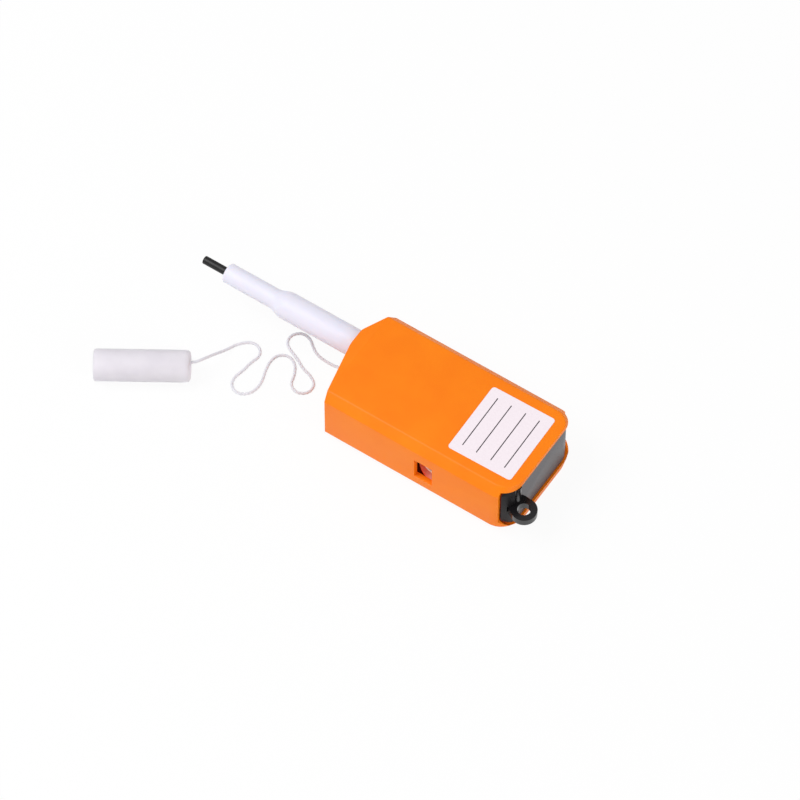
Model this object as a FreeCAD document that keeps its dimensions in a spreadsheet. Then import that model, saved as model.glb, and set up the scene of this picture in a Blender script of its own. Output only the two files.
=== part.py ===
"""Fibre connector cleaning pen: box-shaped one-push cleaner for 2.5 mm ferrules.

The pen lies on its large face. +X runs along the pen from the cleaning tip to the strap ring,
-Y is the side with the inspection window, +Z is up. The origin is the middle of the pen's
footprint. All sizes are millimetres and live in the spreadsheet "Sizes".
"""
import FreeCAD, Part
import math
import os
import re

import Sketcher

Vector = FreeCAD.Vector

# Driving dimensions: alias, value in mm (or degrees, or a count), what it is.
SIZES = [
    ("overall_length", 127.0, "tip end to strap ring end"),
    ("case_length", 67.0, "nose to rear face"),
    ("case_width", 35.6, "window side to far side"),
    ("case_height", 20.5, "over the large faces"),
    ("rear_gap", 6.3, "rear face to the strap ring end"),
    ("edge_bevel", 2.5, "45 degree bevel along the long edges"),
    ("rear_radius", 6.5, "rear corners, carried round the bevels too"),
    ("nose_depth", 4.4, "how far the nose stands ahead of the window side's wall"),
    ("far_nose_depth", 5.5, "how far the nose stands ahead of the far side's wall"),
    ("nose_width", 5.7, "flat at the nose"),
    ("nose_offset", 5.05, "nose centre, towards the far side"),
    ("nose_radius", 0.7, "upright edges of the nose"),
    ("slope_length", 4.0, "sloped top behind the nose"),
    ("slope_drop", 0.8, "fall of the sloped top"),
    ("side_wall", 1.6, "side wall thickness"),
    ("top_wall", 1.5, "top wall thickness"),
    ("bottom_wall", 2.0, "bottom wall thickness"),
    ("front_wall", 3.2, "wall behind the nose"),
    ("inner_bevel", 1.8, "bevel inside the long edges"),
    ("side_cut", 3.8, "side walls end this far ahead of the rear face"),
    ("panel_gap", 0.5, "gap between the side walls' ends and the rear panel"),
    ("side_cut_low", 4.9, "lower end of the side cut"),
    ("rear_lip", 2.3, "orange lip under the rear panel"),
    ("window_centre", 28.4, "window centre along X"),
    ("window_width", 6.0, "window along X"),
    ("window_low", 5.9, "window sill height"),
    ("window_tall", 8.0, "window height"),
    ("axis_offset", 5.9, "nozzle axis, towards the far side"),
    ("axis_height", 14.2, "nozzle axis above the base"),
    ("tip_reach", 8.1, "black tip ahead of the nozzle"),
    ("tip_radius", 1.25, "outside of the black tip"),
    ("tip_bore", 0.8, "inside of the black tip"),
    ("tip_neck", 1.05, "groove of the black tip, gripped by the nozzle's lip"),
    ("lip_thick", 0.8, "lip round the tip, inside the nozzle's end face"),
    ("tip_shoulder", 1.6, "hidden shoulder of the black tip"),
    ("tip_root", 12.0, "length of the tip held in the nozzle"),
    ("neck_radius", 3.05, "narrow front of the nozzle"),
    ("neck_length", 17.1, "narrow front of the nozzle"),
    ("flare_length", 3.9, "flare of the nozzle"),
    ("stem_radius", 4.2, "thick stem of the nozzle"),
    ("stem_length", 36.4, "thick stem of the nozzle, to the carriage"),
    ("stem_bore", 2.3, "bore of the stem"),
    ("stem_gap", 0.1, "radial running clearance of the stem in the case"),
    ("travel", 8.0, "push of the nozzle into the case"),
    ("clearance", 0.1, "gap between separate mouldings"),
    ("reel_radius", 10.2, "reel flange"),
    ("reel_low", 3.5, "underside of a reel"),
    ("reel_tall", 5.7, "height of a reel"),
    ("flange_thick", 0.8, "reel flange"),
    ("hub_radius", 3.0, "reel hub"),
    ("takeup_pack", 6.0, "thread wound on the take-up reel"),
    ("supply_pack", 8.6, "thread wound on the supply reel"),
    ("reel_row", -5.5, "both reel axes, across the pen"),
    ("takeup_along", 31.2, "take-up reel axis along X"),
    ("supply_along", 9.5, "supply reel axis along X"),
    ("axle_radius", 1.0, "steel axles"),
    ("axle_gap", 0.06, "radial running clearance on an axle"),
    ("gear_low", 10.0, "underside of the drive gear"),
    ("gear_thick", 3.0, "face width of the drive gear"),
    ("gear_module", 0.6, "tooth module"),
    ("gear_teeth", 20, "teeth of the drive gear"),
    ("ratchet_radius", 4.8, "ratchet wheel over its teeth"),
    ("ratchet_thick", 2.0, "ratchet wheel"),
    ("ratchet_teeth", 12, "ratchet teeth"),
    ("floor_thick", 1.0, "chassis floor"),
    ("lid_low", 17.6, "underside of the chassis lid"),
    ("lid_thick", 1.2, "chassis lid"),
    ("spring_radius", 2.6, "return spring, to the middle of the wire"),
    ("spring_wire", 0.5, "return spring wire"),
    ("spring_turns", 9, "turns of the return spring"),
    ("stop_along", 38.0, "front face of the chassis spring stop"),
    ("stop_thick", 2.0, "chassis spring stop"),
    ("collar_front", 2.0, "front face of the carriage"),
    ("collar_length", 11.0, "carriage block"),
    ("ring_radius", 3.85, "strap ring outside"),
    ("ring_hole", 1.95, "strap ring hole"),
    ("ring_thick", 2.3, "strap ring"),
    ("ring_top", 12.0, "top of the strap ring"),
    ("ring_across", -13.2, "strap ring centre across the pen"),
    ("ring_corner", 1.1, "rounded root corners of the strap ring"),
    ("root_far_across", -9.05, "far root corner of the strap ring"),
    ("root_near_across", -15.2, "near root corner of the strap ring"),
    ("post_radius", 1.43, "upright post of the strap ring"),
    ("post_across", -11.7, "upright post of the strap ring"),
    ("post_inset", 1.15, "post axis ahead of the rear face"),
    ("label_long", 21.0, "label along the pen"),
    ("label_wide", 24.4, "label across the pen"),
    ("label_thick", 0.12, "label stock"),
    ("label_along", 43.3, "label centre along X"),
    ("label_turn", 0.9, "degrees the label is turned"),
    ("cap_radius", 4.75, "dust cap outside"),
    ("cap_length", 28.2, "dust cap"),
    ("cap_bore", 3.15, "dust cap bore"),
    ("cap_mouth", 3.5, "wider mouth of the cap bore"),
    ("cap_mouth_deep", 3.6, "depth of the wider mouth"),
    ("cap_end", 3.0, "closed end of the dust cap"),
    ("cap_along", -73.0, "middle of the cap's open end"),
    ("cap_across", -37.1, "middle of the cap's open end"),
    ("cap_turn", 32.75, "degrees from +X to the cap's axis"),
    ("cap_hole_up", 2.0, "cord hole above the cap's axis"),
    ("cord_radius", 0.45, "tether cord"),
    ("cord_hole", 0.75, "holes that the cord passes through"),
    ("bead_radius", 1.0, "crimp bead on a cord end"),
    ("bead_length", 2.0, "crimp bead on a cord end"),
    ("anchor_across", 3.2, "cord hole in the nose"),
    ("anchor_height", 4.6, "cord hole in the nose"),
]

# Route of the tether cord on the ground, from the cap's end wall to the hole in the nose.
CORD_ROUTE = [
    (-48.48, -21.33, 6.75),
    (-47.55, -19.62, 6.5),
    (-46.98, -17.39, 5.6),
    (-46.66, -14.76, 4.0),
    (-46.16, -11.88, 2.2),
    (-45.37, -8.93, 0.9),
    (-44.4, -5.9, 0.45),
    (-41.5, -2.8, 0.45),
    (-38.3, -2.9, 0.45),
    (-36.3, -5.4, 0.45),
    (-37.4, -9.2, 0.45),
    (-37.6, -12.3, 0.45),
    (-38.5, -15.8, 0.45),
    (-37.5, -18.8, 0.45),
    (-34.5, -20.0, 0.45),
    (-31.6, -18.2, 0.45),
    (-30.6, -14.7, 0.45),
    (-31.2, -11.5, 0.45),
    (-32.4, -8.4, 0.45),
    (-33.0, -4.9, 0.45),
    (-32.1, -2.0, 0.45),
    (-29.1, -0.7, 0.45),
    (-26.2, -2.3, 0.45),
    (-24.4, -5.2, 0.45),
    (-23.4, -9.1, 0.45),
    (-20.2, -10.3, 0.45),
    (-17.4, -8.3, 0.45),
    (-17.5, -4.9, 0.45),
    (-20.4, -3.0, 0.45),
    (-23.7, -2.2, 0.45),
    (-26.5, -0.4, 0.45),
    (-29.6, 0.8, 0.45),
    (-32.6, 2.4, 0.45),
    (-33.1, 5.7, 0.45),
    (-30.7, 8.1, 0.45),
    (-27.5, 7.6, 0.45),
    (-24.9, 5.2, 0.45),
    (-22.1, 3.8, 0.45),
    (-18.6, 3.5, 0.45),
    (-15.5, 3.3, 1.2),
    (-12.6, 3.1, 2.9),
    (-9.9, 3.2, 4.6),
    (-6.6, 3.2, 4.6),
]

document = FreeCAD.newDocument("FibreCleaningPen")
sizes = document.addObject("Spreadsheet::Sheet", "Sizes")
for row, (alias, value, note) in enumerate(SIZES, start=1):
    sizes.set(f"A{row}", alias)
    sizes.set(f"B{row}", str(value))
    sizes.set(f"C{row}", note)
    sizes.setAlias(f"B{row}", alias)
document.recompute()

ALIASES = {alias for alias, _value, _note in SIZES}
WORD = re.compile(r"[a-z_]+")


def bound(formula):
    """Turn a formula of plain aliases into one that names the spreadsheet."""
    return WORD.sub(lambda m: "Sizes." + m.group() if m.group() in ALIASES else m.group(), str(formula))


def size(formula):
    """Value of a formula of spreadsheet aliases."""
    return float(sizes.evalExpression(bound(formula)))


# Levels and stations that several pieces share, as formulas of the sheet.
TIP_END = "(-overall_length / 2)"
RING_END = "(overall_length / 2)"
REAR = "(overall_length / 2 - rear_gap)"
NOSE = "(overall_length / 2 - rear_gap - case_length)"
SIDE_FRONT = f"({NOSE} + nose_depth)"
HALF = "(case_width / 2)"
INNER_HALF = "(case_width / 2 - side_wall)"
CEILING = "(case_height - top_wall)"
CAVITY_FRONT = f"({SIDE_FRONT} + side_wall)"
NOZZLE_FRONT = f"({TIP_END} + tip_reach)"
PITCH_RADIUS = "(gear_module * gear_teeth / 2)"
SPIGOT = "(stem_radius - 0.9)"
CAP_BEAD_END = "(cap_length - cap_end + bead_length + clearance / 2)"
COLLAR_BACK = "(collar_front + collar_length)"
SCREW_PLACES = [("-0.7", "-12.6"), ("46.5", "-12.2"), ("45.0", "5.0")]
GUIDE_PLACES = [("-0.6", "-1.2"), ("-0.6", "2.6")]
PAWL_ALONG = "(takeup_along / 2 + supply_along / 2)"
PAWL_ACROSS = "(reel_row - 7.5)"
PAWL_LOW = "(gear_low + gear_thick + 0.3)"
RING_ALONG = f"({RING_END} - ring_radius)"
RING_LOW = "(ring_top - ring_thick)"
POST_ALONG = f"({REAR} - post_inset)"


def new_body(name, along="0", across="0", up="0"):
    """Start a piece in its own frame, placed by formulas."""
    body = document.addObject("PartDesign::Body", name)
    body.Label = name
    for axis, formula in zip("xyz", (along, across, up)):
        body.setExpression(f"Placement.Base.{axis}", bound(formula))
    return body


def turn_body(body, degrees):
    """Turn a piece about its own upright axis."""
    body.Placement.Rotation = FreeCAD.Rotation(Vector(0, 0, 1), 0)
    body.setExpression("Placement.Rotation.Angle", bound(degrees))


def new_sketch(body, plane, start="0"):
    """Sketch on an origin plane of the body, moved along that plane's normal."""
    sketch = body.newObject("Sketcher::SketchObject", "Sketch")
    support = next(f for f in body.Origin.OriginFeatures if f.Role == plane + "_Plane")
    sketch.AttachmentSupport = [(support, "")]
    sketch.MapMode = "FlatFace"
    sign = "-" if plane == "XZ" else ""
    sketch.setExpression("AttachmentOffset.Base.z", f"{sign}({bound(start)})")
    return sketch


def pin_point(sketch, geometry, position, across, up):
    """Fix a point of the sketch at two formulas from the sketch's origin."""
    for kind, formula in (("DistanceX", across), ("DistanceY", up)):
        index = sketch.addConstraint(Sketcher.Constraint(kind, -1, 1, geometry, position, size(formula)))
        sketch.setExpression(f"Constraints[{index}]", bound(formula))


def draw_polygon(sketch, points):
    """Closed outline through points given as pairs of formulas."""
    corners = [Vector(size(across), size(up), 0) for across, up in points]
    for start, end in zip(corners, corners[1:] + corners[:1]):
        sketch.addGeometry(Part.LineSegment(start, end))
    count = len(points)
    for line in range(count):
        sketch.addConstraint(Sketcher.Constraint("Coincident", line, 2, (line + 1) % count, 1))
    for line, (across, up) in enumerate(points):
        pin_point(sketch, line, 1, across, up)


def draw_circle(sketch, across, up, radius):
    """Circle with its centre and radius given as formulas."""
    centre = Vector(size(across), size(up), 0)
    index = sketch.addGeometry(Part.Circle(centre, Vector(0, 0, 1), size(radius)))
    pin_point(sketch, index, 3, across, up)
    constraint = sketch.addConstraint(Sketcher.Constraint("Radius", index, size(radius)))
    sketch.setExpression(f"Constraints[{constraint}]", bound(radius))


def extrude(body, sketch, plane, length, cut=False):
    """Pad or pocket a sketch towards the positive end of its axis."""
    feature = body.newObject("PartDesign::Pocket" if cut else "PartDesign::Pad", "Extrusion")
    feature.Profile = sketch
    feature.setExpression("Length", bound(length))
    feature.Reversed = (plane == "XZ") != cut
    sketch.Visibility = False
    return feature


def prism(body, plane, points, start, end, cut=False):
    """Straight-sided block between two stations along the plane's axis."""
    sketch = new_sketch(body, plane, start)
    draw_polygon(sketch, points)
    return extrude(body, sketch, plane, f"({end}) - ({start})", cut)


def cylinder(body, plane, across, up, radius, start, end, cut=False):
    """Round boss or hole between two stations along the plane's axis."""
    sketch = new_sketch(body, plane, start)
    draw_circle(sketch, across, up, radius)
    return extrude(body, sketch, plane, f"({end}) - ({start})", cut)


def rectangle(low_across, high_across, low_up, high_up):
    """Corner formulas of a rectangle."""
    return [(low_across, low_up), (high_across, low_up), (high_across, high_up), (low_across, high_up)]


def turned(body, points, axis="H_Axis", cut=False):
    """Turn a half profile in the XZ plane about the body's X or Z axis."""
    sketch = new_sketch(body, "XZ")
    draw_polygon(sketch, points)
    feature = body.newObject("PartDesign::Groove" if cut else "PartDesign::Revolution", "Turned")
    feature.Profile = sketch
    feature.ReferenceAxis = (sketch, [axis])
    feature.Angle = 360
    sketch.Visibility = False
    return feature


def round_edges(body, feature, radius, wanted):
    """Fillet every edge of a feature that the test accepts."""
    document.recompute()
    names = [f"Edge{i}" for i, edge in enumerate(feature.Shape.Edges, start=1) if wanted(edge)]
    fillet = body.newObject("PartDesign::Fillet", "Fillet")
    fillet.Base = (feature, names)
    fillet.setExpression("Radius", bound(radius))
    return fillet


def bevel_long_edge(body, side, rise, level, rear, half, radius):
    """Bevel a long edge at 45 degrees above or below a level, carried round the rear corner.

    The waste outside the rounded plan outline is cut along a line that leans inwards.
    """
    sketch = new_sketch(body, "XY", level)
    corner = f"{side} * ({half} - {radius})"
    away = f"{side} * ({half} + edge_bevel + 1)"
    places = [
        (rear, corner),
        (f"{rear} + 1", corner),
        (f"{rear} + 1", away),
        (f"{NOSE} - 1", away),
        (f"{NOSE} - 1", f"{side} * {half}"),
        (f"{rear} - {radius}", f"{side} * {half}"),
    ]
    for start, end in zip(places, places[1:]):
        line = sketch.addGeometry(Part.LineSegment(*[Vector(size(x), size(y), 0) for x, y in (start, end)]))
        pin_point(sketch, line, 1, *start)
    pin_point(sketch, line, 2, *places[-1])
    for before in range(line):
        sketch.addConstraint(Sketcher.Constraint("Coincident", before, 2, before + 1, 1))
    centre = Vector(size(f"{rear} - {radius}"), size(corner), 0)
    start = 0 if side > 0 else 1.5 * math.pi
    circle = Part.Circle(centre, Vector(0, 0, 1), size(radius))
    arc = sketch.addGeometry(Part.ArcOfCircle(circle, start, start + math.pi / 2))
    rear_end, side_end = (1, 2) if side > 0 else (2, 1)
    sketch.addConstraint(Sketcher.Constraint("Coincident", arc, rear_end, 0, 1))
    sketch.addConstraint(Sketcher.Constraint("Coincident", arc, side_end, line, 2))
    bend = sketch.addConstraint(Sketcher.Constraint("Radius", arc, size(radius)))
    sketch.setExpression(f"Constraints[{bend}]", bound(radius))
    cut = extrude(body, sketch, "XY", "edge_bevel + 4 * clearance", cut=True)
    cut.UseCustomVector = True
    cut.AlongSketchNormal = True
    cut.Reversed = False
    cut.Direction = Vector(0, -side, rise)


def bevelled(half, low, high, bevel):
    """Corner formulas of a section across the pen with its four corners bevelled at 45 degrees."""
    return [
        (f"-{half} + {bevel}", low),
        (f"{half} - {bevel}", low),
        (half, f"{low} + {bevel}"),
        (half, f"{high} - {bevel}"),
        (f"{half} - {bevel}", high),
        (f"-{half} + {bevel}", high),
        (f"-{half}", f"{high} - {bevel}"),
        (f"-{half}", f"{low} + {bevel}"),
    ]


def is_upright(edge):
    """True for a straight edge along Z."""
    if edge.Curve.TypeId != "Part::GeomLine":
        return False
    return abs(edge.Curve.Direction.z) > 0.999


def upright_at(along):
    """Test for upright edges at a station along X."""
    def wanted(edge):
        return is_upright(edge) and abs(edge.CenterOfMass.x - size(along)) < 0.01
    return wanted


def upright_ahead_of(along):
    """Test for upright edges ahead of a station along X."""
    def wanted(edge):
        return is_upright(edge) and edge.CenterOfMass.x < size(along)
    return wanted


def polar_pattern(body, feature, count):
    """Repeat a feature about the body's upright axis."""
    pattern = body.newObject("PartDesign::PolarPattern", "Pattern")
    pattern.Originals = [feature]
    pattern.Axis = (next(f for f in body.Origin.OriginFeatures if f.Role == "Z_Axis"), [""])
    pattern.Angle = 360
    pattern.setExpression("Occurrences", bound(count))
    body.Tip = pattern
    return pattern


def coil(name, wire, radius, length, turns, start_along, across, up):
    """Coil spring along X as a swept helix."""
    helix = document.addObject("Part::Helix", name + "_line")
    helix.setExpression("Radius", bound(radius))
    helix.setExpression("Height", bound(f"({length}) - {wire}"))
    helix.setExpression("Pitch", bound(f"(({length}) - {wire}) / {turns}"))
    helix.SegmentLength = 1
    section = document.addObject("Part::Circle", name + "_section")
    section.setExpression("Radius", bound(f"{wire} / 2"))
    section.setExpression("Placement.Base.x", bound(radius))
    section.Placement.Rotation = FreeCAD.Rotation(Vector(1, 0, 0), 90)
    sweep = document.addObject("Part::Sweep", name)
    sweep.Label = name
    document.recompute()
    sweep.Sections = [section]
    sweep.Spine = (helix, [f"Edge{i}" for i in range(1, len(helix.Shape.Edges) + 1)])
    sweep.Solid = True
    sweep.Frenet = True
    sweep.Placement.Rotation = FreeCAD.Rotation(Vector(0, 1, 0), 90)
    sweep.setExpression("Placement.Base.x", bound(f"({start_along}) + {wire} / 2"))
    sweep.setExpression("Placement.Base.y", bound(across))
    sweep.setExpression("Placement.Base.z", bound(up))
    return sweep


def make_case_sleeve():
    """One-piece orange sleeve: closed chamfered nose, open rear, bevelled long edges."""
    body = new_body("case_sleeve")
    block = prism(body, "XY", rectangle(NOSE, REAR, f"-{HALF}", HALF), "0", "case_height")
    round_edges(body, block, "rear_radius", upright_at(REAR))
    for side in (-1, 1):
        bevel_long_edge(body, side, 1, "case_height - edge_bevel", REAR, HALF, "rear_radius")
        bevel_long_edge(body, side, -1, "edge_bevel", REAR, HALF, "rear_radius")
    nose_sides = [
        ("-1", SIDE_FRONT, "nose_offset - nose_width / 2"),
        ("1", f"({NOSE} + far_nose_depth)", "nose_offset + nose_width / 2"),
    ]
    for side, wall_front, nose_corner in nose_sides:
        waste = [
            (NOSE, nose_corner),
            (wall_front, f"{side} * {HALF}"),
            (wall_front, f"{side} * ({HALF} + 1)"),
            (f"{NOSE} - 1", f"{side} * ({HALF} + 1)"),
            (f"{NOSE} - 1", nose_corner),
        ]
        nose = prism(body, "XY", waste, "-1", "case_height + 1", cut=True)
    round_edges(body, nose, "nose_radius", upright_at(NOSE))
    slope = [
        (f"{NOSE} + slope_length", "case_height"),
        (f"{NOSE} - 1", "case_height + 1"),
        (f"{NOSE} - 1", "case_height - slope_drop * (slope_length + 1) / slope_length"),
    ]
    prism(body, "XZ", slope, f"-{HALF} - 1", f"{HALF} + 1", cut=True)
    hollow = bevelled(INNER_HALF, "bottom_wall", CEILING, "inner_bevel")
    prism(body, "YZ", hollow, CAVITY_FRONT, f"{REAR} + 1", cut=True)
    nose_hollow = [
        (f"{CAVITY_FRONT} + 1", f"-{INNER_HALF} + inner_bevel"),
        (f"{CAVITY_FRONT} + 1", f"{INNER_HALF} - inner_bevel"),
        (CAVITY_FRONT, f"{INNER_HALF} - inner_bevel"),
        (f"{NOSE} + front_wall", "axis_offset + stem_radius"),
        (f"{NOSE} + front_wall", "0"),
        (CAVITY_FRONT, f"-{INNER_HALF} + inner_bevel"),
    ]
    prism(body, "XY", nose_hollow, "bottom_wall", CEILING, cut=True)
    opening = [
        (f"{REAR} - side_cut", CEILING),
        (f"{REAR} - side_cut", "side_cut_low"),
        (f"{REAR} - side_cut * 0.2", "rear_lip + 0.4"),
        (f"{REAR} + 1", "rear_lip"),
        (f"{REAR} + 1", CEILING),
    ]
    prism(body, "XZ", opening, f"-{HALF} - 1", f"{HALF} + 1", cut=True)
    window = rectangle(
        "window_centre - window_width / 2",
        "window_centre + window_width / 2",
        "window_low",
        "window_low + window_tall",
    )
    prism(body, "XZ", window, f"-{HALF} - 1", f"-{INNER_HALF} + 1", cut=True)
    cylinder(body, "YZ", "axis_offset", "axis_height", "stem_radius + stem_gap",
             f"{NOSE} - 1", f"{NOSE} + front_wall + 1", cut=True)
    cylinder(body, "YZ", "anchor_across", "anchor_height", "cord_hole",
             f"{NOSE} - 1", f"{NOSE} + front_wall + 1", cut=True)
    return body


def make_chassis():
    """Dark grey inner moulding: floor, bosses, spring stop and the rear end block."""
    body = new_body("chassis")
    low = "(bottom_wall + clearance)"
    floor_top = f"({low} + floor_thick)"
    block_front = f"({REAR} - 7.0)"
    flank = f"({INNER_HALF} - clearance)"
    skin = f"({HALF} - 4.5 * clearance)"
    back = f"({REAR} - 4.5 * clearance)"
    shoulder = f"({REAR} - side_cut + panel_gap)"
    profile = [
        (block_front, "side_cut_low + panel_gap"),
        (shoulder, "side_cut_low + panel_gap"),
        (f"{REAR} - side_cut * 0.2 + clearance", "rear_lip + 0.4 + 1.5 * clearance"),
        (back, "rear_lip + 0.4 + clearance"),
        (back, f"{CEILING} - clearance"),
        (block_front, f"{CEILING} - clearance"),
    ]
    solid = prism(body, "XZ", profile, f"-{skin}", skin)
    panel_radius = "(rear_radius - 4.5 * clearance)"
    round_edges(body, solid, panel_radius, upright_at(back))
    for side in (-1, 1):
        bevel_long_edge(body, side, 1, "case_height - edge_bevel - 2 * clearance", back, skin, panel_radius)
        slab = [
            (f"{block_front} - 1", f"{side} * ({flank} - inner_bevel)"),
            (shoulder, f"{side} * ({flank} - inner_bevel)"),
            (shoulder, f"{side} * ({HALF} + 1)"),
            (f"{block_front} - 1", f"{side} * ({HALF} + 1)"),
        ]
        prism(body, "XY", slab, "0", "case_height", cut=True)
    floor = rectangle("-2.5", f"{block_front} + 1", f"-{flank} + inner_bevel", f"{flank} - inner_bevel")
    prism(body, "XY", floor, low, floor_top)
    foot = rectangle(block_front, f"{shoulder} + 0.5", f"-{flank} + inner_bevel", f"{flank} - inner_bevel")
    prism(body, "XY", foot, low, "side_cut_low + 1")
    pocket = rectangle(f"{block_front} - 1", f"{back} - 2.2", "-8.5", f"{flank} - 3")
    prism(body, "XY", pocket, "side_cut_low", f"{CEILING} - 1.6", cut=True)
    rail = rectangle("0", "stop_along + stop_thick", "axis_offset + stem_radius + 0.8",
                     f"{flank} - inner_bevel")
    prism(body, "XY", rail, low, "axis_height + 2")
    stop = rectangle("stop_along", "stop_along + stop_thick", "axis_offset - 3", f"{flank} - inner_bevel")
    prism(body, "XY", stop, low, "axis_height + 3.4")
    for along, across in SCREW_PLACES:
        cylinder(body, "XY", along, across, "1.7", low, "lid_low")
        cylinder(body, "XY", along, across, "0.65", "lid_low - 6", "lid_low + 0.1", cut=True)
    for along in ("takeup_along", "supply_along"):
        cylinder(body, "XY", along, "reel_row", "2.2", low, "reel_low - 0.1")
        cylinder(body, "XY", along, "reel_row", "axle_radius", low, "reel_low + 1", cut=True)
    cylinder(body, "XY", PAWL_ALONG, PAWL_ACROSS, "1.3", low, f"{PAWL_LOW} - clearance")
    cylinder(body, "XY", PAWL_ALONG, PAWL_ACROSS, "0.5", f"{PAWL_LOW} - 3", f"{PAWL_LOW} + 1", cut=True)
    for along, across in GUIDE_PLACES:
        cylinder(body, "XY", along, across, "0.6", low, f"{floor_top} + 0.5", cut=True)
    prism(body, "XY", ring_root("clearance / 2"), f"{RING_LOW} - clearance / 2",
          "ring_top + clearance / 2", cut=True)
    cylinder(body, "XY", POST_ALONG, "post_across", "post_radius + clearance / 2",
             f"{RING_LOW} - clearance / 2", f"{CEILING} + 1", cut=True)
    return body


def ring_root(grow):
    """Root of the strap ring, from the flanks of the ring to its two corners in the rear panel."""
    return [
        (f"{RING_ALONG} - 0.3", f"ring_across + 0.995 * ring_radius + {grow}"),
        (f"{REAR} - 0.7 - {grow}", f"root_far_across + {grow}"),
        (f"{REAR} - 2.0 - {grow}", f"root_near_across - {grow}"),
        (f"{RING_ALONG} - 2.0", f"ring_across - 0.85 * ring_radius - {grow}"),
    ]


def make_strap_ring():
    """Black strap eyelet: flat ring with a rounded root, and an upright post at the root."""
    body = new_body("strap_ring")
    root = prism(body, "XY", ring_root("0"), RING_LOW, "ring_top")
    round_edges(body, root, "ring_corner", upright_ahead_of(REAR))
    cylinder(body, "XY", RING_ALONG, "ring_across", "ring_radius", RING_LOW, "ring_top")
    cylinder(body, "XY", POST_ALONG, "post_across", "post_radius", RING_LOW, f"{CEILING} - clearance")
    cylinder(body, "XY", RING_ALONG, "ring_across", "ring_hole", f"{RING_LOW} - 1", "ring_top + 1",
             cut=True)
    return body


def make_chassis_lid():
    """Dark plate over the reels, held by three screws."""
    body = new_body("chassis_lid")
    lid_edge = f"({INNER_HALF} - inner_bevel - 3 * clearance)"
    plate = rectangle("-2.5", f"{REAR} - 7.3", f"-{lid_edge}", "axis_offset - stem_radius - 0.6")
    prism(body, "XY", plate, "lid_low", "lid_low + lid_thick")
    ear = rectangle("42.0", "48.0", "0.5", "7.5")
    prism(body, "XY", ear, "lid_low", "lid_low + lid_thick")
    for along, across in SCREW_PLACES:
        cylinder(body, "XY", along, across, "0.9", "lid_low - 1", "lid_low + lid_thick + 1", cut=True)
    for along in ("takeup_along", "supply_along"):
        cylinder(body, "XY", along, "reel_row", "axle_radius + axle_gap", "lid_low - 1",
                 "lid_low + lid_thick + 1", cut=True)
    return body


def make_lid_screws():
    """Three self-tapping screws through the lid, one node."""
    body = new_body("lid_screws")
    for along, across in SCREW_PLACES:
        cylinder(body, "XY", along, across, "0.6", "lid_low - 5", "lid_low + 0.2")
        cylinder(body, "XY", along, across, "0.85", "lid_low + 0.2", "lid_low + lid_thick - 0.5")
    return body


def make_reel(name, along, pack):
    """Moulded reel with two flanges, and the thread wound on it as a second piece."""
    reel = new_body(name, along, "reel_row", "reel_low")
    bore = "(axle_radius + axle_gap)"
    turned(reel, [
        (bore, "0"),
        ("reel_radius", "0"),
        ("reel_radius", "flange_thick"),
        ("hub_radius", "flange_thick"),
        ("hub_radius", "reel_tall - flange_thick"),
        ("reel_radius", "reel_tall - flange_thick"),
        ("reel_radius", "reel_tall"),
        (bore, "reel_tall"),
    ], "V_Axis")
    wound = new_body(name.replace("_reel", "_thread"), along, "reel_row", "reel_low")
    turned(wound, [
        ("hub_radius", "flange_thick"),
        (pack, "flange_thick"),
        (pack, "reel_tall - flange_thick"),
        ("hub_radius", "reel_tall - flange_thick"),
    ], "V_Axis")
    return [reel, wound]


def make_drive_gear():
    """Pinion and ratchet wheel moulded in one, above the take-up reel."""
    body = new_body("drive_gear", "takeup_along", "reel_row", "gear_low")
    root = f"({PITCH_RADIUS} - 1.25 * gear_module)"
    outer = f"({PITCH_RADIUS} + gear_module)"
    cylinder(body, "XY", "0", "0", root, "0", "gear_thick")
    tooth = [
        (f"{root} - 0.4", "-0.58 * gear_module * 1.5"),
        (f"{root} + 0.1", "-0.55 * gear_module * 1.5"),
        (outer, "-0.2 * gear_module * 1.5"),
        (outer, "0.2 * gear_module * 1.5"),
        (f"{root} + 0.1", "0.55 * gear_module * 1.5"),
        (f"{root} - 0.4", "0.58 * gear_module * 1.5"),
    ]
    polar_pattern(body, prism(body, "XY", tooth, "0", "gear_thick"), "gear_teeth")
    low = "gear_thick"
    high = "gear_thick + ratchet_thick"
    cylinder(body, "XY", "0", "0", "ratchet_radius - 0.8", low, high)
    barb = [
        ("ratchet_radius - 1.2", "-0.9"),
        ("ratchet_radius - 0.9", "1.1"),
        ("ratchet_radius", "0.1"),
        ("ratchet_radius - 0.4", "-0.1"),
    ]
    polar_pattern(body, prism(body, "XY", barb, low, high), "ratchet_teeth")
    body.Tip = cylinder(body, "XY", "0", "0", "axle_radius + axle_gap", "-1", f"{high} + 1", cut=True)
    return body


def make_pawl():
    """Ratchet pawl: hub on its own pin, arm with a pointed nose beside the ratchet wheel."""
    body = new_body("ratchet_pawl", PAWL_ALONG, PAWL_ACROSS, PAWL_LOW)
    cylinder(body, "XY", "0", "0", "1.3", "0", "ratchet_thick - 0.6")
    arm = [("0", "-0.8"), ("8.7", "1.3"), ("9.15", "2.85"), ("7.6", "2.0"), ("0", "1.0")]
    prism(body, "XY", arm, "0", "ratchet_thick - 0.6")
    cylinder(body, "XY", "0", "0", "0.5 + axle_gap", "-1", "ratchet_thick + 1", cut=True)
    pin = new_body("pawl_pin", PAWL_ALONG, PAWL_ACROSS, PAWL_LOW)
    cylinder(pin, "XY", "0", "0", "0.5", "-2.8", "ratchet_thick")
    return [body, pin]


def make_axle(name, along):
    """Steel axle pressed in the chassis floor and running up through the lid."""
    body = new_body(name, along, "reel_row")
    cylinder(body, "XY", "0", "0", "axle_radius", "bottom_wall + clearance", "lid_low + lid_thick - 0.1")
    return body


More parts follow.
